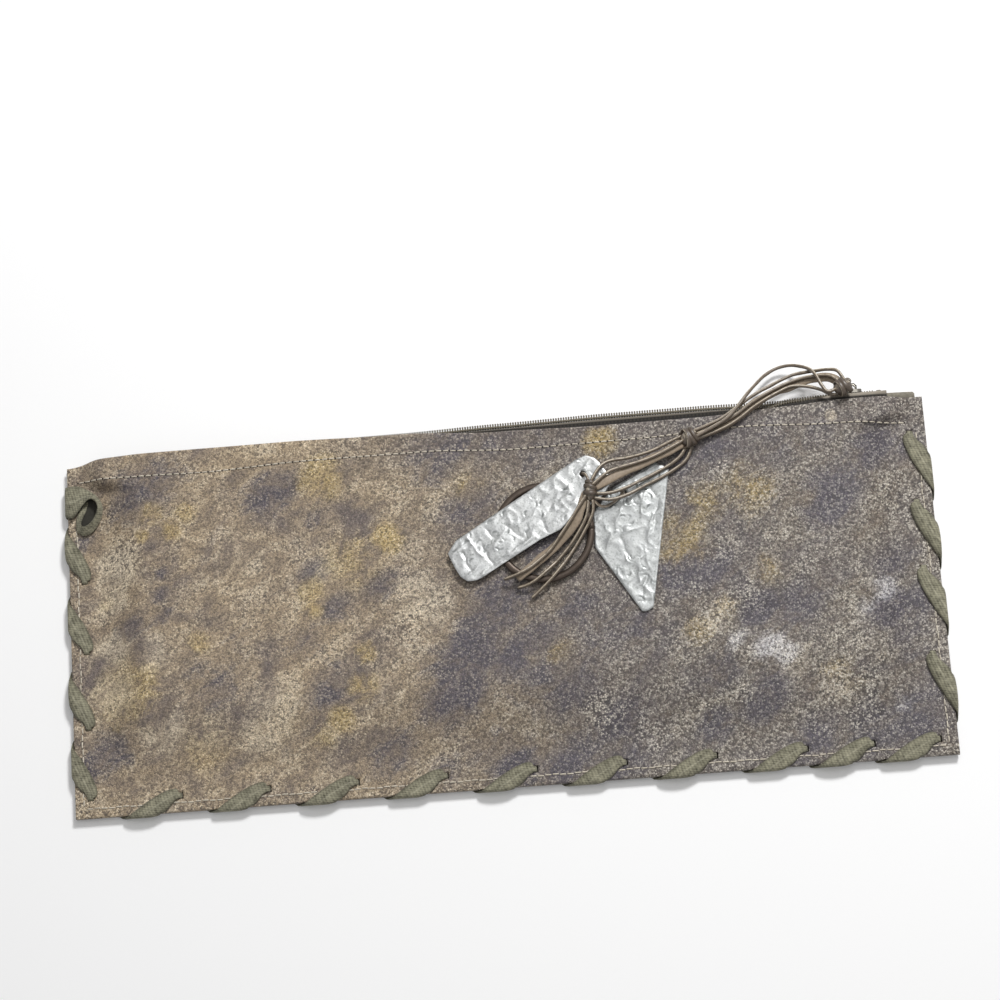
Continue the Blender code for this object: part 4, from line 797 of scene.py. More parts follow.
# A fold down its middle is rubbed pale
fold = add_node(olive_ribbon, "MapRange", {
    "Value": to_edge, "From Min": 0.06, "From Max": 0.01, "To Max": 0.35})
fold = add_node(olive_ribbon, "Math", {0: fold, 1: slub}, operation="MULTIPLY")
rubbed = add_node(olive_ribbon, "Mix", {
    0: fold, 6: darker, 7: "#cfcbb4"}, data_type="RGBA")
bump = add_node(olive_ribbon, "Bump", {"Height": mixed, "Strength": 0.7, "Distance": 0.3 * mm})
feed(olive_ribbon, Base_Color=rubbed, Normal=bump)
make_piece("edge_lacing", "pouch", "olive_ribbon", olive_ribbon, *ribbon(rulings, 1.3), stands_for=["edge_lace"])

# The lacing's start at the top left: it comes round the edge, stands up into an open curl whose
# hollow shows from above, and its end is tucked back under it.
loop_lines = [
    ((12, -12, 0), (12, -22, 0), (0, 0, -1)), ((0, -10.5, 0), (0, -25.0, 0), (0, 0, -1)),
    ((-0.55, -10.3, 0.3), (-0.55, -25.0, 0.3), (-1, 0, -1)), ((-0.8, -10.2, 0.8), (-0.8, -25.0, 0.8), (-1, 0, 0)),
    ((-0.8, -10.1, 4.3), (-0.8, -25.0, 4.3), (-1, 0, 0)), ((0.0, -10.2, 6.2), (-0.2, -25.2, 6.3), (-1, 0, 1)),
    ((4.2, -9.8, 6.7), (3.2, -26.4, 7.8), (-0.2, 0, 1)), ((8.0, -11.0, 6.9), (7.0, -22.2, 9.2), (0.1, 0.3, 1)),
    ((12.4, -13.8, 6.8), (10.8, -18.0, 10.2), (0.5, 0.8, 0.5)),
    ((15.2, -16.2, 6.8), (13.6, -17.4, 10.8), (0.6, 0.8, 0.3)),
    ((17.4, -20.2, 6.6), (16.3, -20.4, 11.0), (1, 0.1, 0.2)),
    ((17.3, -25.4, 6.4), (15.7, -24.8, 10.8), (1, -0.3, 0.3)),
    ((14.4, -31.2, 6.3), (12.8, -29.2, 10.2), (0.7, -0.8, 0.4)),
    ((9.8, -35.2, 6.2), (9.0, -31.2, 9.6), (0, -1, 0.6)), ((5.4, -33.8, 6.1), (6.9, -29.8, 8.8), (-0.8, -0.6, 0.5)),
    ((4.0, -29.0, 5.9), (7.4, -26.4, 7.2), (-0.7, 0.3, 0.9)), ((5.2, -23.5, 5.7), (9.8, -22.0, 5.9), (0, 0, 1)),
    ((7.0, -17.5, 5.7), (11.0, -18.2, 5.8), (0, 0, 1))]
lines = []
for k, (first, second, facing) in enumerate(loop_lines):
    lift = lace_back if k < 5 else 0
    ends = [np.array((p[0] - half_length, p[1] + half_height, p[2] + lift)) for p in (first, second)]
    facing = np.array(facing, float)
    lines.append((ends[0], ends[1], facing / np.linalg.norm(facing)))
make_piece("lacing_loop", "pouch", "olive_ribbon", olive_ribbon, *ribbon(lines, 0.0), stands_for=["lace_end_loop"])
# A strip tucked into the curl's hollow is coloured almost black as painted shade
painted_shade_ribbon = worn_finish("ribbon_inside_painted_shade", "#100f0d", "#3e3c34", 1.5, relief=(0.5, 0.2), Roughness=0.95)
tucked = [(*[np.array((x - half_length, half_height - down, z)) for x in ends], front_up) for *ends, down, z in (
    (7.2, 12.0, 16.6, 5.75), (5.8, 14.6, 19.5, 5.75), (5.4, 15.2, 24.5, 5.8), (6.0, 14.0, 29.0, 5.8),
    (8.0, 12.0, 32.2, 5.75))]
make_piece("lacing_tucked_end_painted_shade", "pouch", "olive_ribbon", painted_shade_ribbon, *ribbon(tucked, 0.0))

# Tassel cords: round waxed leather cord, 1.6 mm thick, with a flat tan suede lace among them. They
# run from the slider's knot through two more, and heights are from the top of the crowned panel.

cord_thick, tan_width, tan_thick = 1.6, 4.3, 1.3
knots = {
    "knot_at_slider": ((167.4, 89.2, 3.8), (4.9, 4.2, 3.3), 0.5),
    "knot_middle": ((94.1, 71.0, 4.1), (4.6, 5.2, 3.6), 0.45),
    "knot_lower": ((46.3, 48.8, 8.3), (3.1, 5.6, 2.9), 1.4),
}
flat_laces = {
    "tan_lace_upper": [
        (166.4, 90.2, 2.4), (164.8, 93.1, 2.2), (160.9, 95.2, 1.2), (155.1, 95.6, -0.6), (149.1, 94.9, -1.6),
        (142.9, 92.7, -1.2), (136.7, 90.8, 0.2), (130.3, 87.7, 1.2), (124.2, 84.2, 1.3), (117.9, 79.8, 1.4),
        (111.6, 76.5, 1.6), (105.4, 74.2, 1.9), (94.2, 70.8, 2.2)],
    "tan_lace_middle": [
        (94.1, 70.6, 3.4), (84.4, 65.4, 4.2), (77.0, 62.4, 4.9), (70.2, 59.7, 5.4), (63.5, 57.1, 6.2),
        (54.6, 53.2, 7.2), (46.3, 49.3, 7.6)],
    "tan_lace_tail": [
        (44.6, 48.4, 6.9), (41.3, 40.7, 6.5), (39.2, 35.9, 6.0), (35.6, 31.6, 5.0), (28.0, 24.4, 3.4),
        (20.1, 18.6, 3.4), (16.2, 15.3, 4.4), (12.8, 12.9, 4.7), (9.3, 10.7, 4.0)],
}
thin_cords = {
    "thin_cord_upper_arc": [
        (164.6, 88.4, 4.6), (160.2, 87.4, 4.8), (157.6, 91.0, 4.6), (155.6, 95.8, 3.9), (153.4, 99.6, 0.9),
        (149.8, 102.4, -2.6), (144.4, 104.3, -5.6), (138.1, 103.6, -6.4), (132.2, 100.2, -4.6),
        (127.4, 95.2, -0.7), (122.6, 89.6, 3.1), (117.4, 83.3, 5.0), (110.6, 77.3, 5.7), (93.4, 68.9, 6.2)],
    "thin_cord_upper_outer": [
        (169.0, 91.2, 3.8), (165.8, 97.2, 3.4), (161.2, 98.9, 1.4), (155.4, 99.4, -1.2), (149.5, 99.3, -2.4),
        (144.7, 98.6, -2.6), (139.1, 96.4, -2.0), (134.1, 93.7, -0.2), (127.2, 90.2, 1.5), (120.3, 85.9, 2.2),
        (111.4, 80.0, 2.7), (104.0, 76.7, 3.2), (93.0, 72.9, 3.6)],
    "thin_cord_upper_inner": [
        (167.2, 90.4, 5.2), (161.9, 95.1, 3.6), (155.1, 96.2, 1.5), (149.0, 95.9, 0.4), (143.1, 94.4, 0.8),
        (137.0, 91.9, 2.1), (130.5, 88.7, 3.1), (124.0, 85.1, 3.2), (117.5, 80.7, 3.3), (111.1, 77.3, 3.5),
        (104.0, 74.4, 3.7), (94.0, 71.2, 4.2)],
    "thin_cord_upper_lower": [
        (164.4, 86.2, 2.6), (161.0, 86.8, 2.3), (157.4, 89.3, 1.5), (153.0, 91.2, 0.8), (148.0, 92.3, 0.5),
        (143.0, 92.2, 0.9), (137.4, 89.8, 2.1), (131.3, 86.7, 3.1), (124.9, 83.1, 3.2), (118.6, 78.7, 3.3),
        (112.1, 75.1, 3.5), (104.7, 72.3, 3.6), (94.8, 69.1, 4.0)],
    "thin_cord_middle_outer": [
        (93.2, 73.0, 3.6), (86.2, 70.3, 3.9), (77.2, 66.4, 4.2), (70.5, 64.6, 4.6), (63.8, 63.4, 5.0),
        (57.7, 62.8, 5.8), (53.4, 61.2, 6.8), (50.0, 57.8, 7.7), (46.3, 51.6, 8.0)],
    "thin_cord_middle_inner": [
        (94.1, 71.0, 5.4), (86.3, 67.0, 6.0), (77.0, 62.8, 6.8), (70.3, 60.7, 7.4), (63.7, 59.1, 8.1),
        (57.5, 57.5, 8.9), (53.2, 55.2, 9.5), (46.3, 49.8, 9.8)],
    "thin_cord_lower_inner": [
        (94.1, 69.8, 2.6), (90.1, 63.6, 2.7), (85.2, 59.7, 2.6), (77.8, 55.9, 3.0), (70.1, 52.4, 4.0),
        (62.3, 49.0, 5.4), (54.6, 47.1, 6.5), (46.3, 47.5, 7.1)],
    "thin_cord_lower_outer": [
        (95.6, 68.6, 1.9), (92.4, 61.6, 1.9), (86.8, 57.2, 2.0), (79.2, 53.2, 2.5), (71.3, 49.7, 3.5),
        (63.6, 46.0, 5.1), (55.4, 44.0, 6.5), (46.3, 45.6, 7.4)],
    "thin_cord_tail_top": [
        (45.4, 47.8, 9.3), (40.6, 41.4, 9.0), (36.6, 35.8, 8.2), (31.4, 29.3, 6.8), (25.7, 22.6, 5.4),
        (19.5, 17.6, 5.6), (14.9, 14.4, 6.6), (9.7, 12.2, 6.4), (3.5, 10.8, 3.4)],
    "thin_cord_tail_middle": [
        (45.5, 46.8, 7.8), (44.5, 39.4, 7.6), (42.2, 34.0, 6.5), (37.2, 27.0, 4.4), (32.4, 21.6, 3.0),
        (27.8, 17.0, 3.0), (22.9, 12.7, 5.0), (18.4, 9.3, 5.0), (14.0, 7.4, 3.6), (9.4, 6.7, 1.8)],
    "thin_cord_tail_long": [
        (47.0, 46.8, 8.3), (47.2, 40.2, 7.4), (45.1, 34.9, 6.2), (41.3, 29.0, 4.4), (37.6, 23.8, 3.4),
        (33.3, 18.1, 3.8), (29.0, 13.0, 5.0), (24.8, 8.7, 4.9), (20.2, 4.9, 3.2), (15.5, 1.4, 1.4)],
}
slider_x, hole_y, bar_out, bail_low = 171.6, 90.75, 93.8, -6.975
tongue_hole, triangle_hole = (43.4, 57.6), (61.5, 48.2)
short_cords = {
    "knot_curl_end": [
        (45.9, 51.9, 9.2), (45.6, 54.4, 8.8), (44.6, 56.6, 7.8), (*tongue_hole, 5.6), (*tongue_hole, 4.2),
        (43.0, 57.6, 2.4)],
    "triangle_tie": [
        (47.4, 45.6, 6.6), (48.6, 43.1, 6.0), (50.4, 41.7, 4.8), (53.0, 41.6, 3.7), (56.9, 43.4, 3.0),
        (60.1, 46.2, 3.2), (61.2, 47.9, 2.8), (*triangle_hole, 1.5), (*triangle_hole, 0.8)],
    "slider_cord_loop": [
        (168.2, 89.2, 1.6), (170.0, hole_y + 0.1, -0.4), (slider_x, hole_y, -3.0), (slider_x, hole_y, bail_low),
        (slider_x, hole_y + 0.4, bail_low - 1.5), (slider_x, (hole_y + bar_out) / 2, bail_low - 2.2),
        (slider_x, bar_out - 0.4, bail_low - 1.5), (slider_x, bar_out, bail_low), (slider_x, bar_out, -3.0),
        (170.2, bar_out + 0.1, -0.2), (168.6, 92.4, 1.6), (167.4, 90.0, 3.4)],
}


def lifted(p):
    return np.array((p[0], p[1], p[2] + crown_top), float)


def cord_line(route, sunk, step):
    """Even points along a smooth route, trimmed where it goes further than sunk into a knot"""
    p = np.array([lifted(q) for q in route])
    p = np.concatenate([[2 * p[0] - p[1]], p, [2 * p[-1] - p[-2]]])
    fine = []
    for k in range(1, len(p) - 2):
        p0, p1, p2, p3 = p[k - 1:k + 3]
        for t in np.linspace(0, 1, max(3, int(np.linalg.norm(p2 - p1) / 0.2)), endpoint=False):
            fine.append(0.5 * (2 * p1 + (p2 - p0) * t + (2 * p0 - 5 * p1 + 4 * p2 - p3) * t ** 2
                               + (3 * p1 - p0 - 3 * p2 + p3) * t ** 3))
    fine = np.array(fine + [p[-2]])
    clear = np.ones(len(fine), bool)
    for centre, radii, _ in knots.values():
        off = (fine - lifted(centre)) / (np.array(radii) - sunk)
        clear &= (off ** 2).sum(1) >= 1
    fine = fine[clear]
    far = distances(fine)
    stops = np.linspace(0, far[-1], max(6, round(far[-1] / step)))
    return np.stack([np.interp(stops, far, fine[:, k]) for k in range(3)], 1), far[-1]


def cord_rings(line, thick, sides=12, flat=1.0, seed=0.0):
    """A cord that swells and thins a little, with its cut ends rounded over"""
    far = np.arange(len(line)) * np.linalg.norm(line[1] - line[0])
    radii = thick / 2 * (1 + 0.05 * np.sin(far / 3.1 + seed) + 0.03 * np.sin(far / 1.3 + 2 * seed))
    radii[0] *= 0.8
    radii[-1] *= 0.8
    return tube_rings(line, radii, sides, flat)


def cut_lace(name, dark, light, highlight_share):
    """Waxed leather lace, cut from a dyed hide: smooth, dark and half glossy from the wax, with a pale line painted
    along its top side as a highlight, broken here and there"""
    finish = new_finish(name, Roughness=0.42, Coat_Weight=0.2, Coat_Roughness=0.3)
    place = add_node(finish, "TexCoord").outputs["UV"]
    grain_place = add_node(finish, "VectorMath", {0: place, 1: (0.5, 6.0, 1.0)}, operation="MULTIPLY")
    grain = add_node(finish, "TexNoise", {
        "Vector": grain_place, "Scale": 1.3, "Detail": 4.0, "Roughness": 0.6})
    tone = add_node(finish, "Mix", {
        0: grain, 6: dark, 7: light}, data_type="RGBA")
    turn_round = add_node(finish, "SeparateXYZ", {0: place})
    # The pale line lies just off the top of the cord, where the light falls: a painted highlight
    off_top = add_node(finish, "Math", {0: turn_round.outputs["Y"], 1: 0.19}, operation="SUBTRACT")
    off_top = add_node(finish, "Math", {0: off_top}, operation="ABSOLUTE")
    painted_highlight = add_node(finish, "MapRange", {
        "Value": off_top, "From Min": 0.07, "From Max": 0.02, "To Max": highlight_share})
    kept = add_node(finish, "MapRange", {"Value": grain, "From Min": 0.35, "From Max": 0.5})
    share = add_node(finish, "Math", {0: painted_highlight, 1: kept}, operation="MULTIPLY")
    highlighted = add_node(finish, "Mix", {
        0: share, 6: tone, 7: "#c2b6a1"}, data_type="RGBA")
    bump = add_node(finish, "Bump", {"Height": grain, "Strength": 0.35, "Distance": 0.15 * mm})
    feed(finish, Base_Color=highlighted, Normal=bump)
    return finish


waxed_cord = cut_lace("waxed_leather_cord", "#2a211a", "#7d6e5c", 0.9)
knotted_cord = cut_lace("waxed_leather_in_knots", "#221912", "#5c4e40", 0.6)

# Suede split from the hide's flesh side: a soft nap that takes no gleam, darker where it is pressed down
tan_suede = worn_finish(
    "tan_suede_lace", "#55483b", "#ac9a83", 1.2, 5.0, relief=(0.5, 0.2), Roughness=0.55, Sheen_Weight=0.2)

cord_pieces = {}
short_thick, sunk = 1.4, 0.9
for number, (name, route) in enumerate({**thin_cords, **short_cords}.items()):
    line, length = cord_line(route, sunk, 0.9)
    thick = short_thick if name in short_cords else cord_thick
    piece = make_piece(name + "_leather", "slider", "waxed_cord", waxed_cord,
                       *loft(cord_rings(line, thick, seed=number)), stands_for=[name])
    cord_pieces[name] = piece, line, length, thick
for number, (name, route) in enumerate(flat_laces.items()):
    line, length = cord_line(route, sunk, 1.2)
    rings = cord_rings(line, tan_thick, 16, tan_width / tan_thick, number)
    piece = make_piece(name + "_suede", "slider", "tan_suede", tan_suede, *loft(rings), stands_for=[name])
    cord_pieces[name] = piece, line, length, tan_width

# Knots: overhand knots pulled tight, each a lump of cord with its last wraps lying round it.

wraps_of = {
    "knot_at_slider": [(-0.30, 0.55, 1.15), (0.34, -0.5, 1.2)],
    "knot_middle": [(-0.38, 1.15, 1.15), (0.18, -0.4, 1.0), (0.56, -0.3, 0.95)],
    "knot_lower": [(0.62, 0.2, 0.8), (0.24, 0.2, 0.8), (-0.2, -0.45, 0.95)],
}
for name, (centre, radii, turn) in knots.items():
    axis = np.array((math.cos(turn), math.sin(turn), 0))
    across = np.array((-math.sin(turn), math.cos(turn), 0))

    def lay(p):
        flat = axis * p[0] + across * p[1]
        return lifted(centre) + np.array((flat[0] * radii[0], flat[1] * radii[1], p[2] * radii[2]))

    core, sides, levels = [], 20, 20
    for k in range(1, levels):
        t = math.pi * k / levels
        ring = []
        for i in range(sides):
            a = 2 * math.pi * i / sides
            lump = 0.80 + 0.05 * math.sin(3 * a + 4 * t) + 0.03 * math.sin(5 * a - 3 * t)
            wide = math.sin(t) * lump
            ring.append(lay((-math.cos(t) * 0.92, wide * math.cos(a), wide * math.sin(a))))
        core.append(ring)
    parts, turns = [loft(core)], 36
    for spot, tilt, thick in wraps_of[name]:
        line = []
        for i in range(turns):
            a = 2 * math.pi * i / turns
            reach = spot + tilt * 0.35 * math.sin(a + 0.6)
            width = math.sqrt(max(0.05, 1 - reach ** 2)) * 0.86
            line.append(lay((reach, width * math.cos(a), width * math.sin(a))))
        line = np.array(line)
        middle = line.mean(0)
        # A closed hoop: rings that lean outwards from the knot's middle
        hoop = []
        for i in range(turns):
            run = line[(i + 1) % turns] - line[i - 1]
            run /= np.linalg.norm(run)
            out = line[i] - middle
            out -= run * np.dot(out, run)
            out /= np.linalg.norm(out)
            side = np.cross(run, out)
            hoop.append([line[i] + (out * math.cos(b) * 0.75 + side * math.sin(b) * 1.15) * thick
                         for b in np.linspace(0, 2 * math.pi, 10, endpoint=False)])
        hoop.append(hoop[0])
        parts.append(loft(hoop))
    make_piece(name + "_wound", "slider", "waxed_cord", knotted_cord, *joined(parts), stands_for=[name])

# Ring: a cast bronze hoop with a dark brown patina, rubbed to a soft gleam here and there. It lies
# flat under the tongue charm and over the edge of the triangle charm.

ring_centre, ring_radius, ring_wide, ring_tall = (23.1, 31.9), 22.2, 3.4, 2.4
lift_under, around_ring, around_wire = 1.3, 120, 16
ring_tilt = -lift_under / (2 * ring_radius)
ring_mid = crown_top + 0.3 + ring_tall / 2 + lift_under / 2
rings = []
for k in range(around_ring + 1):
    a = 2 * math.pi * (k % around_ring) / around_ring
    swell = 1 + 0.04 * math.sin(3 * a + 1) + 0.02 * math.sin(7 * a)
    ring = []
    for i in range(around_wire):
        b = 2 * math.pi * i / around_wire
        reach = ring_radius + math.cos(b) * swell * ring_wide / 2
        x, y, z = math.cos(a) * reach, math.sin(a) * reach, math.sin(b) * swell * ring_tall / 2
        ring.append((ring_centre[0] + x * math.cos(ring_tilt) + z * math.sin(ring_tilt), ring_centre[1] + y,
                     ring_mid - x * math.sin(ring_tilt) + z * math.cos(ring_tilt)))
    rings.append(ring)
bronze = worn_finish("patinated_bronze", "#1f1916", "#54483e", 5, 6.0, 0.65, (0.25, 0.2), (0.5, 0.28), Metallic=0.6)
make_piece("cord_ring_bronze", "slider", "ring_bronze", bronze, *loft(rings), stands_for=["cord_ring"])

# Charms: two pieces of soft silvery sheet, 1 mm thick, cut by hand, hammered with the peen's edge
# and crumpled here and there. Each hangs from a cord through one hole.

charm_thick, charm_hole = 1.0, 3.2
triangle_outline = [
    (83.6, 57.6), (71.4, -7.0), (69.0, -8.6), (66.1, -8.9), (63.6, -4.9), (46.4, 23.2), (46.7, 39.9),
    (56.7, 50.7), (77.7, 61.0)]
tongue_outline = [
    (-22.2, 25.3), (-18.3, 30.9), (11.5, 48.2), (41.2, 65.0), (45.1, 66.4), (49.3, 64.9), (52.3, 61.3),
    (57.0, 53.6), (52.3, 46.7), (38.8, 38.1), (31.3, 32.2), (21.3, 28.1), (11.8, 22.9), (0.5, 16.7),
    (-6.2, 12.9), (-9.8, 11.4), (-13.8, 11.4), (-16.9, 13.8), (-19.4, 18.4)]


def charm(outline, low, tilt, hole, relief, step=0.5):
    """A thin plate as a fine net inside its outline, with a height for each point of it"""
    outline = np.array(outline, float)
    rim = []
    for a, b in zip(outline, np.roll(outline, -1, axis=0)):
        for t in np.linspace(0, 1, max(1, round(np.linalg.norm(b - a) / step)), endpoint=False):
            rim.append(a + (b - a) * t)
    rim = np.array(rim)
    for _ in range(2):
        rim = 0.25 * np.roll(rim, 1, axis=0) + 0.5 * rim + 0.25 * np.roll(rim, -1, axis=0)
    around = [np.array(hole) + charm_hole / 2 * np.array((math.cos(a), math.sin(a)))
              for a in np.linspace(0, 2 * math.pi, 20, endpoint=False)]
    low_x, low_y = outline.min(0)
    high_x, high_y = outline.max(0)
    inside = []
    for row, y in enumerate(np.arange(low_y, high_y, step * 0.87)):
        for x in np.arange(low_x + (row % 2) * step / 2, high_x, step):
            p = np.array((x, y))
            near_rim = np.min(np.linalg.norm(rim - p, axis=1)) < 0.45 * step
            if near_rim or np.linalg.norm(p - hole) < charm_hole / 2 + 0.3:
                continue
            a, b = rim, np.roll(rim, -1, axis=0)
            crosses = (a[:, 1] > y) != (b[:, 1] > y)
            cut_x = a[:, 0] + (y - a[:, 1]) * (b[:, 0] - a[:, 0]) / np.where(crosses, b[:, 1] - a[:, 1], 1)
            if np.sum(crosses & (cut_x > x)) % 2:
                inside.append(p)
    flat = [Vector(p) for p in rim] + [Vector(p) for p in around] + [Vector(p) for p in inside]
    count, ring = len(rim), len(around)
    edges = [(k, (k + 1) % count) for k in range(count)]
    edges += [(count + k, count + (k + 1) % ring) for k in range(ring)]
    net, _, triangles, *_ = geometry.delaunay_2d_cdt(flat, edges, [], 1, 1e-5)
    net = np.array(net)
    middle = net[np.array(triangles)].mean(1)
    kept = [t for t, m in zip(triangles, middle) if np.linalg.norm(m - hole) > charm_hole / 2 * 0.9]
    distance = np.min(np.linalg.norm(net[:, None] - rim[None], axis=2), axis=1)
    borders = np.concatenate([rim, np.array(around)])
    edge_gap = np.min(np.linalg.norm(net[:, None] - borders[None], axis=2), axis=1)
    height, hollow = relief(net[:, 0], net[:, 1], distance)
    mid = outline.mean(0)
    worn_edge = 1 - np.clip(edge_gap / 0.6, 0, 1)
    over = charm_thick - 0.22 * worn_edge + height
    under = 0.2 * worn_edge + np.maximum(height, 0) * 0.6
    points = []
    for level in (over, under):
        x, y, z = net[:, 0] - mid[0], net[:, 1] - mid[1], level
        points.append(np.stack([mid[0] + x * math.cos(tilt) + z * math.sin(tilt), mid[1] + y,
                                low - x * math.sin(tilt) + z * math.cos(tilt)], 1))
    size = len(net)
    faces = [tuple(t) for t in kept] + [tuple(size + k for k in t[::-1]) for t in kept]
    used = {}
    for t in kept:
        for a, b in zip(t, (*t[1:], t[0])):
            used[(a, b)] = used.get((a, b), 0) + 1
    faces += [(b, a, size + a, size + b) for a, b in used if (b, a) not in used]
    return np.concatenate(points), faces, np.concatenate([hollow, 0 * hollow])


def darken(piece, hollow):
    """Keeps how deep each point lies in a groove, so that the finish can darken it there with tarnish and painted
    shade
    """
    piece.data.attributes.new("hollow", "FLOAT", "POINT").data.foreach_set("value", hollow)


chance = np.random.default_rng(7)


def hammered(outline, spacing, deep, crescents, folds):
    """Heights for a plate: shallow dents that meet in crisp ridges, thin crescents from the peen's edge, and sharp
    creases"""
    low, high = np.array(outline).min(0), np.array(outline).max(0)
    blows = np.array([(x + chance.uniform(-0.45, 0.45) * spacing, y + chance.uniform(-0.45, 0.45) * spacing)
                      for x in np.arange(low[0], high[0] + spacing, spacing)
                      for y in np.arange(low[1], high[1] + spacing, spacing)])
    marks = [(*chance.uniform(low, high), chance.uniform(0, 2 * math.pi), chance.uniform(0.9, 1.9),
              chance.uniform(0.08, 0.24)) for _ in range(crescents)]

    def relief(x, y, distance):
        warp_x, warp_y = x + 1.1 * np.sin(y / 1.7), y + 1.1 * np.sin(x / 1.9 + 1)
        near = np.min(np.hypot(warp_x[:, None] - blows[:, 0], warp_y[:, None] - blows[:, 1]), axis=1)
        mixed_depth = 0.65 + 0.35 * np.sin(x / 5.1 + 2 * np.sin(y / 6.3))
        height = deep * mixed_depth * (np.clip(near / (0.62 * spacing), 0, 1.2) ** 2 - 0.6)
        height = height + 0.09 * np.sin(x / 4.3 + 1.2 * np.sin(y / 3.9))
        cut = 0 * x
        for mx, my, facing, radius, depth in marks:
            dx, dy = x - mx, y - my
            away = np.hypot(dx, dy)
            towards = np.clip(1.4 * np.cos(np.arctan2(dy, dx) - facing) - 0.4, 0, 1)
            groove = depth * np.exp(-((away - radius) / 0.34) ** 2) * towards
            cut = np.maximum(cut, groove)
            height = height - groove + 0.6 * depth * np.exp(-((away - radius - 0.75) / 0.45) ** 2) * towards
        for fx, fy, angle, long, wide, depth in folds:
            dx, dy = x - fx, y - fy
            run = dx * math.cos(angle) + dy * math.sin(angle)
            off = -dx * math.sin(angle) + dy * math.cos(angle) + 0.10 * run ** 2 / long + 0.25 * np.sin(run / 1.1)
            height = height + depth * np.exp(-np.abs(off) / wide - (run / long) ** 4)
        return np.clip(height, -0.6, 0.35) * np.clip(distance / 1.2, 0.25, 1), np.clip(cut / 0.2, 0, 1)

    return relief


# Pewter sheet, hammered and never polished since: soft grey-white gleams, dulled in clouds, darker in pits, and in
# the grooves darker still with tarnish and painted shade
silver_sheet = new_finish("hammered_pewter_sheet", Metallic=1.0, Roughness=0.36)
place = add_node(silver_sheet, "TexCoord").outputs["Object"]
haze = add_node(silver_sheet, "TexNoise", {"Vector": place, "Scale": 1 / (4 * mm), "Detail": 6.0, "Roughness": 0.65})
pitting = add_node(silver_sheet, "TexNoise", {"Vector": place, "Scale": 1 / (0.9 * mm), "Detail": 3.0})
marks = add_node(silver_sheet, "MapRange", {"Value": pitting, "From Min": 0.46, "From Max": 0.32})
tone = add_node(silver_sheet, "Mix", {
    0: haze, 6: "#77787a", 7: "#b2b3b1"}, data_type="RGBA")
darker = add_node(silver_sheet, "Mix", {
    0: marks, 6: tone, 7: "#7b7d7b"}, data_type="RGBA")
# The peen's grooves are darkened partly as tarnish and partly as painted shade, for the dark that their slopes reflect
deep = add_node(silver_sheet, "Attribute", attribute_name="hollow")
tarnish_and_painted_shade = add_node(silver_sheet, "Mix", {
    0: deep.outputs["Fac"], 6: darker, 7: "#5f6261"}, data_type="RGBA")
dull = add_node(silver_sheet, "MapRange", {"Value": haze, "To Min": 0.48, "To Max": 0.30})
bump = add_node(silver_sheet, "Bump", {"Height": pitting, "Strength": 0.35, "Distance": 0.2 * mm})
feed(silver_sheet, Base_Color=tarnish_and_painted_shade, Roughness=dull, Normal=bump)

points, faces, hollow = charm(triangle_outline, crown_top + 0.3, 0, triangle_hole, hammered(
    triangle_outline, 4.4, 0.2, 75, [
        (68, 4, 1.2, 7, 0.9, -0.35), (66, 10, 1.5, 6, 0.8, 0.35), (64, 30, 0.25, 6, 0.9, 0.3),
        (70, 42, 1.3, 7, 0.8, 0.3), (60, 22, 1.9, 6, 0.9, -0.3), (74, 50, 1.9, 6, 0.8, -0.3),
        (72, 28, 1.4, 7, 0.9, 0.35), (66, -4, 0.2, 4, 0.8, -0.35), (58, 36, 1.2, 6, 0.8, 0.3),
        (76, 38, 1.3, 8, 0.8, -0.3), (70, 16, 1.7, 6, 0.8, 0.3), (54, 26, 0.9, 5, 0.8, 0.3)]))
triangle = make_piece(
    "triangle_charm_sheet", "slider", "charm_metal", silver_sheet, points, faces,
    stands_for=["triangle_charm"], crease=50)
triangle_tarnish = 0.35  # it is duller all over than the tongue
darken(triangle, triangle_tarnish + (1 - triangle_tarnish) * hollow)
tongue_middle = np.mean([p[0] for p in tongue_outline])
tongue_low = ring_mid + ring_tall / 2 + 0.3 - (tongue_middle - ring_centre[0]) * ring_tilt
points, faces, hollow = charm(tongue_outline, tongue_low, ring_tilt, tongue_hole, hammered(
    tongue_outline, 4.6, 0.26, 100, [
        (-14, 21, 1.9, 6, 0.8, -0.45), (-9, 26, 2.2, 7, 0.9, 0.4), (-4, 23, 2.0, 6, 0.8, -0.45),
        (2, 30, 0.9, 6, 0.8, 0.4), (9, 33, 2.4, 5, 0.8, -0.4), (-17, 27, 0.6, 5, 0.8, 0.4),
        (-2, 33, 2.3, 4, 0.8, -0.35), (4, 22, 0.3, 6, 0.9, 0.35), (18, 38, 1.2, 5, 0.8, 0.3),
        (30, 46, 0.7, 6, 0.9, -0.3), (44, 60, 1.0, 5, 0.8, 0.35), (24, 34, 2.0, 5, 0.8, -0.3),
        (-12, 15, 0.7, 5, 0.8, 0.35), (0, 19, 0.5, 5, 0.8, -0.3), (12, 26, 0.6, 6, 0.8, 0.3),
        (36, 44, 0.4, 5, 0.8, 0.3)]))
tongue = make_piece(
    "tongue_charm_sheet", "slider", "charm_metal", silver_sheet, points, faces, stands_for=["tongue_charm"], crease=50)
darken(tongue, hollow)

# A loop over the tassel's long cords, which does nothing with them.

for name, (piece, line, length, thick) in cord_pieces.items():
    if name in short_cords:
        continue

# Camera, light and floor: a pale table under soft light from above, seen from straight over the pouch.

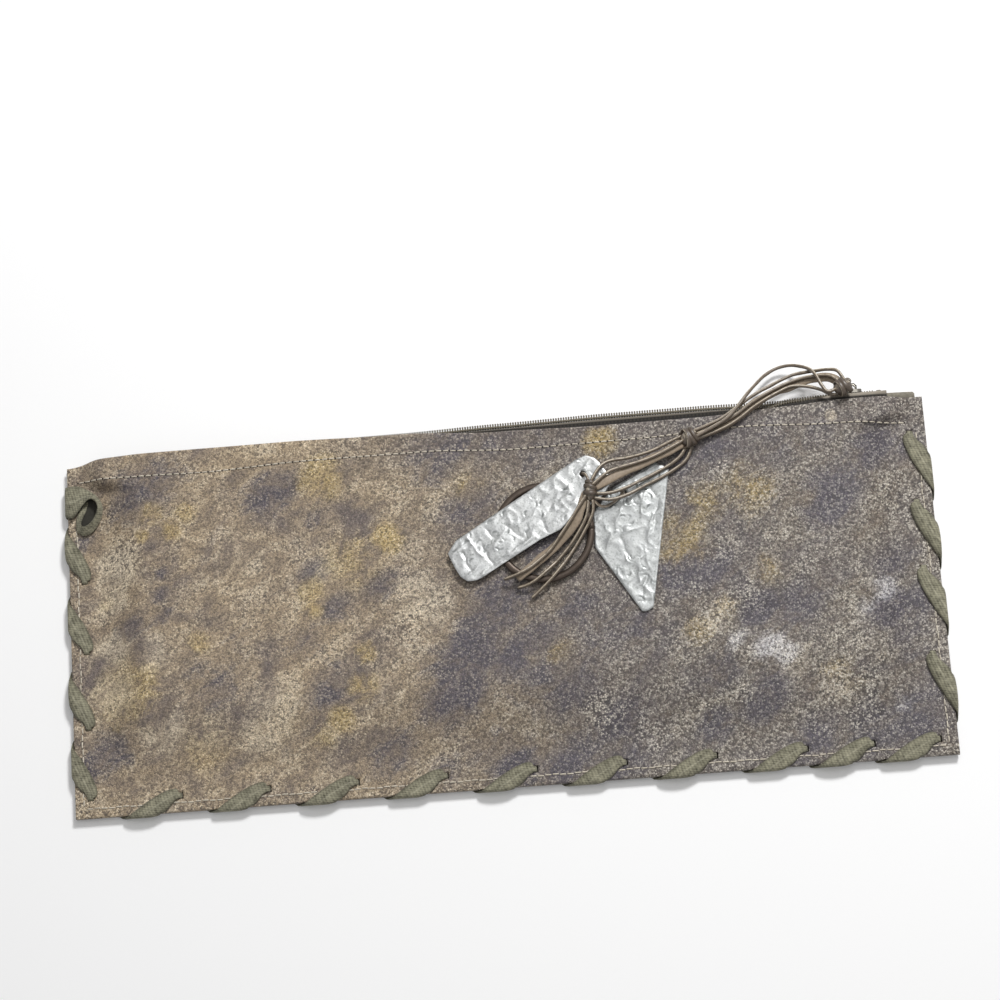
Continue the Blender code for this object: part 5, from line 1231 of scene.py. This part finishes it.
camera = bpy.data.cameras.new("camera")
camera.lens, camera.sensor_width = 86.4, 36
seen = add_object("camera", camera)
turn = Matrix(((0.99434, 0.08196, 0.06758), (-0.06503, 0.97271, -0.22271), (-0.08399, 0.21706, 0.97254)))
seen.matrix_world = Matrix.Translation((0.07972, -0.20138 + bag_y * mm, 1.10722)) @ turn.to_4x4()
bpy.context.scene.camera = seen

floor_mesh = bpy.data.meshes.new("table_top")
floor_mesh.from_pydata([(-4, -4, 0), (4, -4, 0), (4, 4, 0), (-4, 4, 0)], [], [(0, 1, 2, 3)])
floor = add_object("table_top", floor_mesh)
# A matt white table top, so evenly lit that only the pouch's shadow shows on it
table = new_finish("white_table", Roughness=0.9, Base_Color="#fdfdfd")


def seen_plain(finish):
    """1 for the rays that should find plain white: the camera's own, and those off a mirror or through glass"""
    rays = add_node(finish, "LightPath")
    share = rays.outputs["Is Camera Ray"]
    for kind in ("Is Glossy Ray", "Is Transmission Ray"):
        share = add_node(finish, "Math", {0: share, 1: rays.outputs[kind]}, operation="MAXIMUM")
    return share


# The table glows a little to the camera, so that it stays white between the shadows
glow_share = 0.12
half_white = add_node(table, "Math", {0: seen_plain(table), 1: glow_share}, operation="MULTIPLY")
glow = add_node(table, "Emission", {"Color": (1, 1, 1, 1), "Strength": 1.0})
both = add_node(table, "MixShader", {
    0: half_white, 1: table.node_tree.nodes["Principled BSDF"], 2: glow})
fill(table, table.node_tree.nodes["Material Output"].inputs["Surface"], both)
floor_mesh.materials.append(table)

world = bpy.data.worlds.new("studio")
bpy.context.scene.world = world
world.use_nodes = True
background = world.node_tree.nodes["Background"]
fill(world, background.inputs["Strength"], add_node(world, "MapRange", {"Value": seen_plain(world), "To Min": 0.2}))
fill(world, background.inputs["Color"], (1, 1, 1, 1))

# A wide soft lamp hangs where its reflection falls on the lower right of the panel, and a window at the
# upper right throws the shadows down and to the left
for name, spot, size, power in (
        ("ceiling_lamp", (0.19, 0.23, 1.6), 1.0, 5.5), ("window_light", (0.55, 0.95, 1.3), 0.3, 24.0)):
    lamp = bpy.data.lights.new(name, "AREA")
    lamp.size, lamp.energy = size, power
    lit = add_object(name, lamp)
    lit.matrix_world = Matrix.Translation(spot) @ Vector(spot).to_track_quat("Z", "Y").to_matrix().to_4x4()
bpy.context.scene.view_settings.view_transform = "Standard"
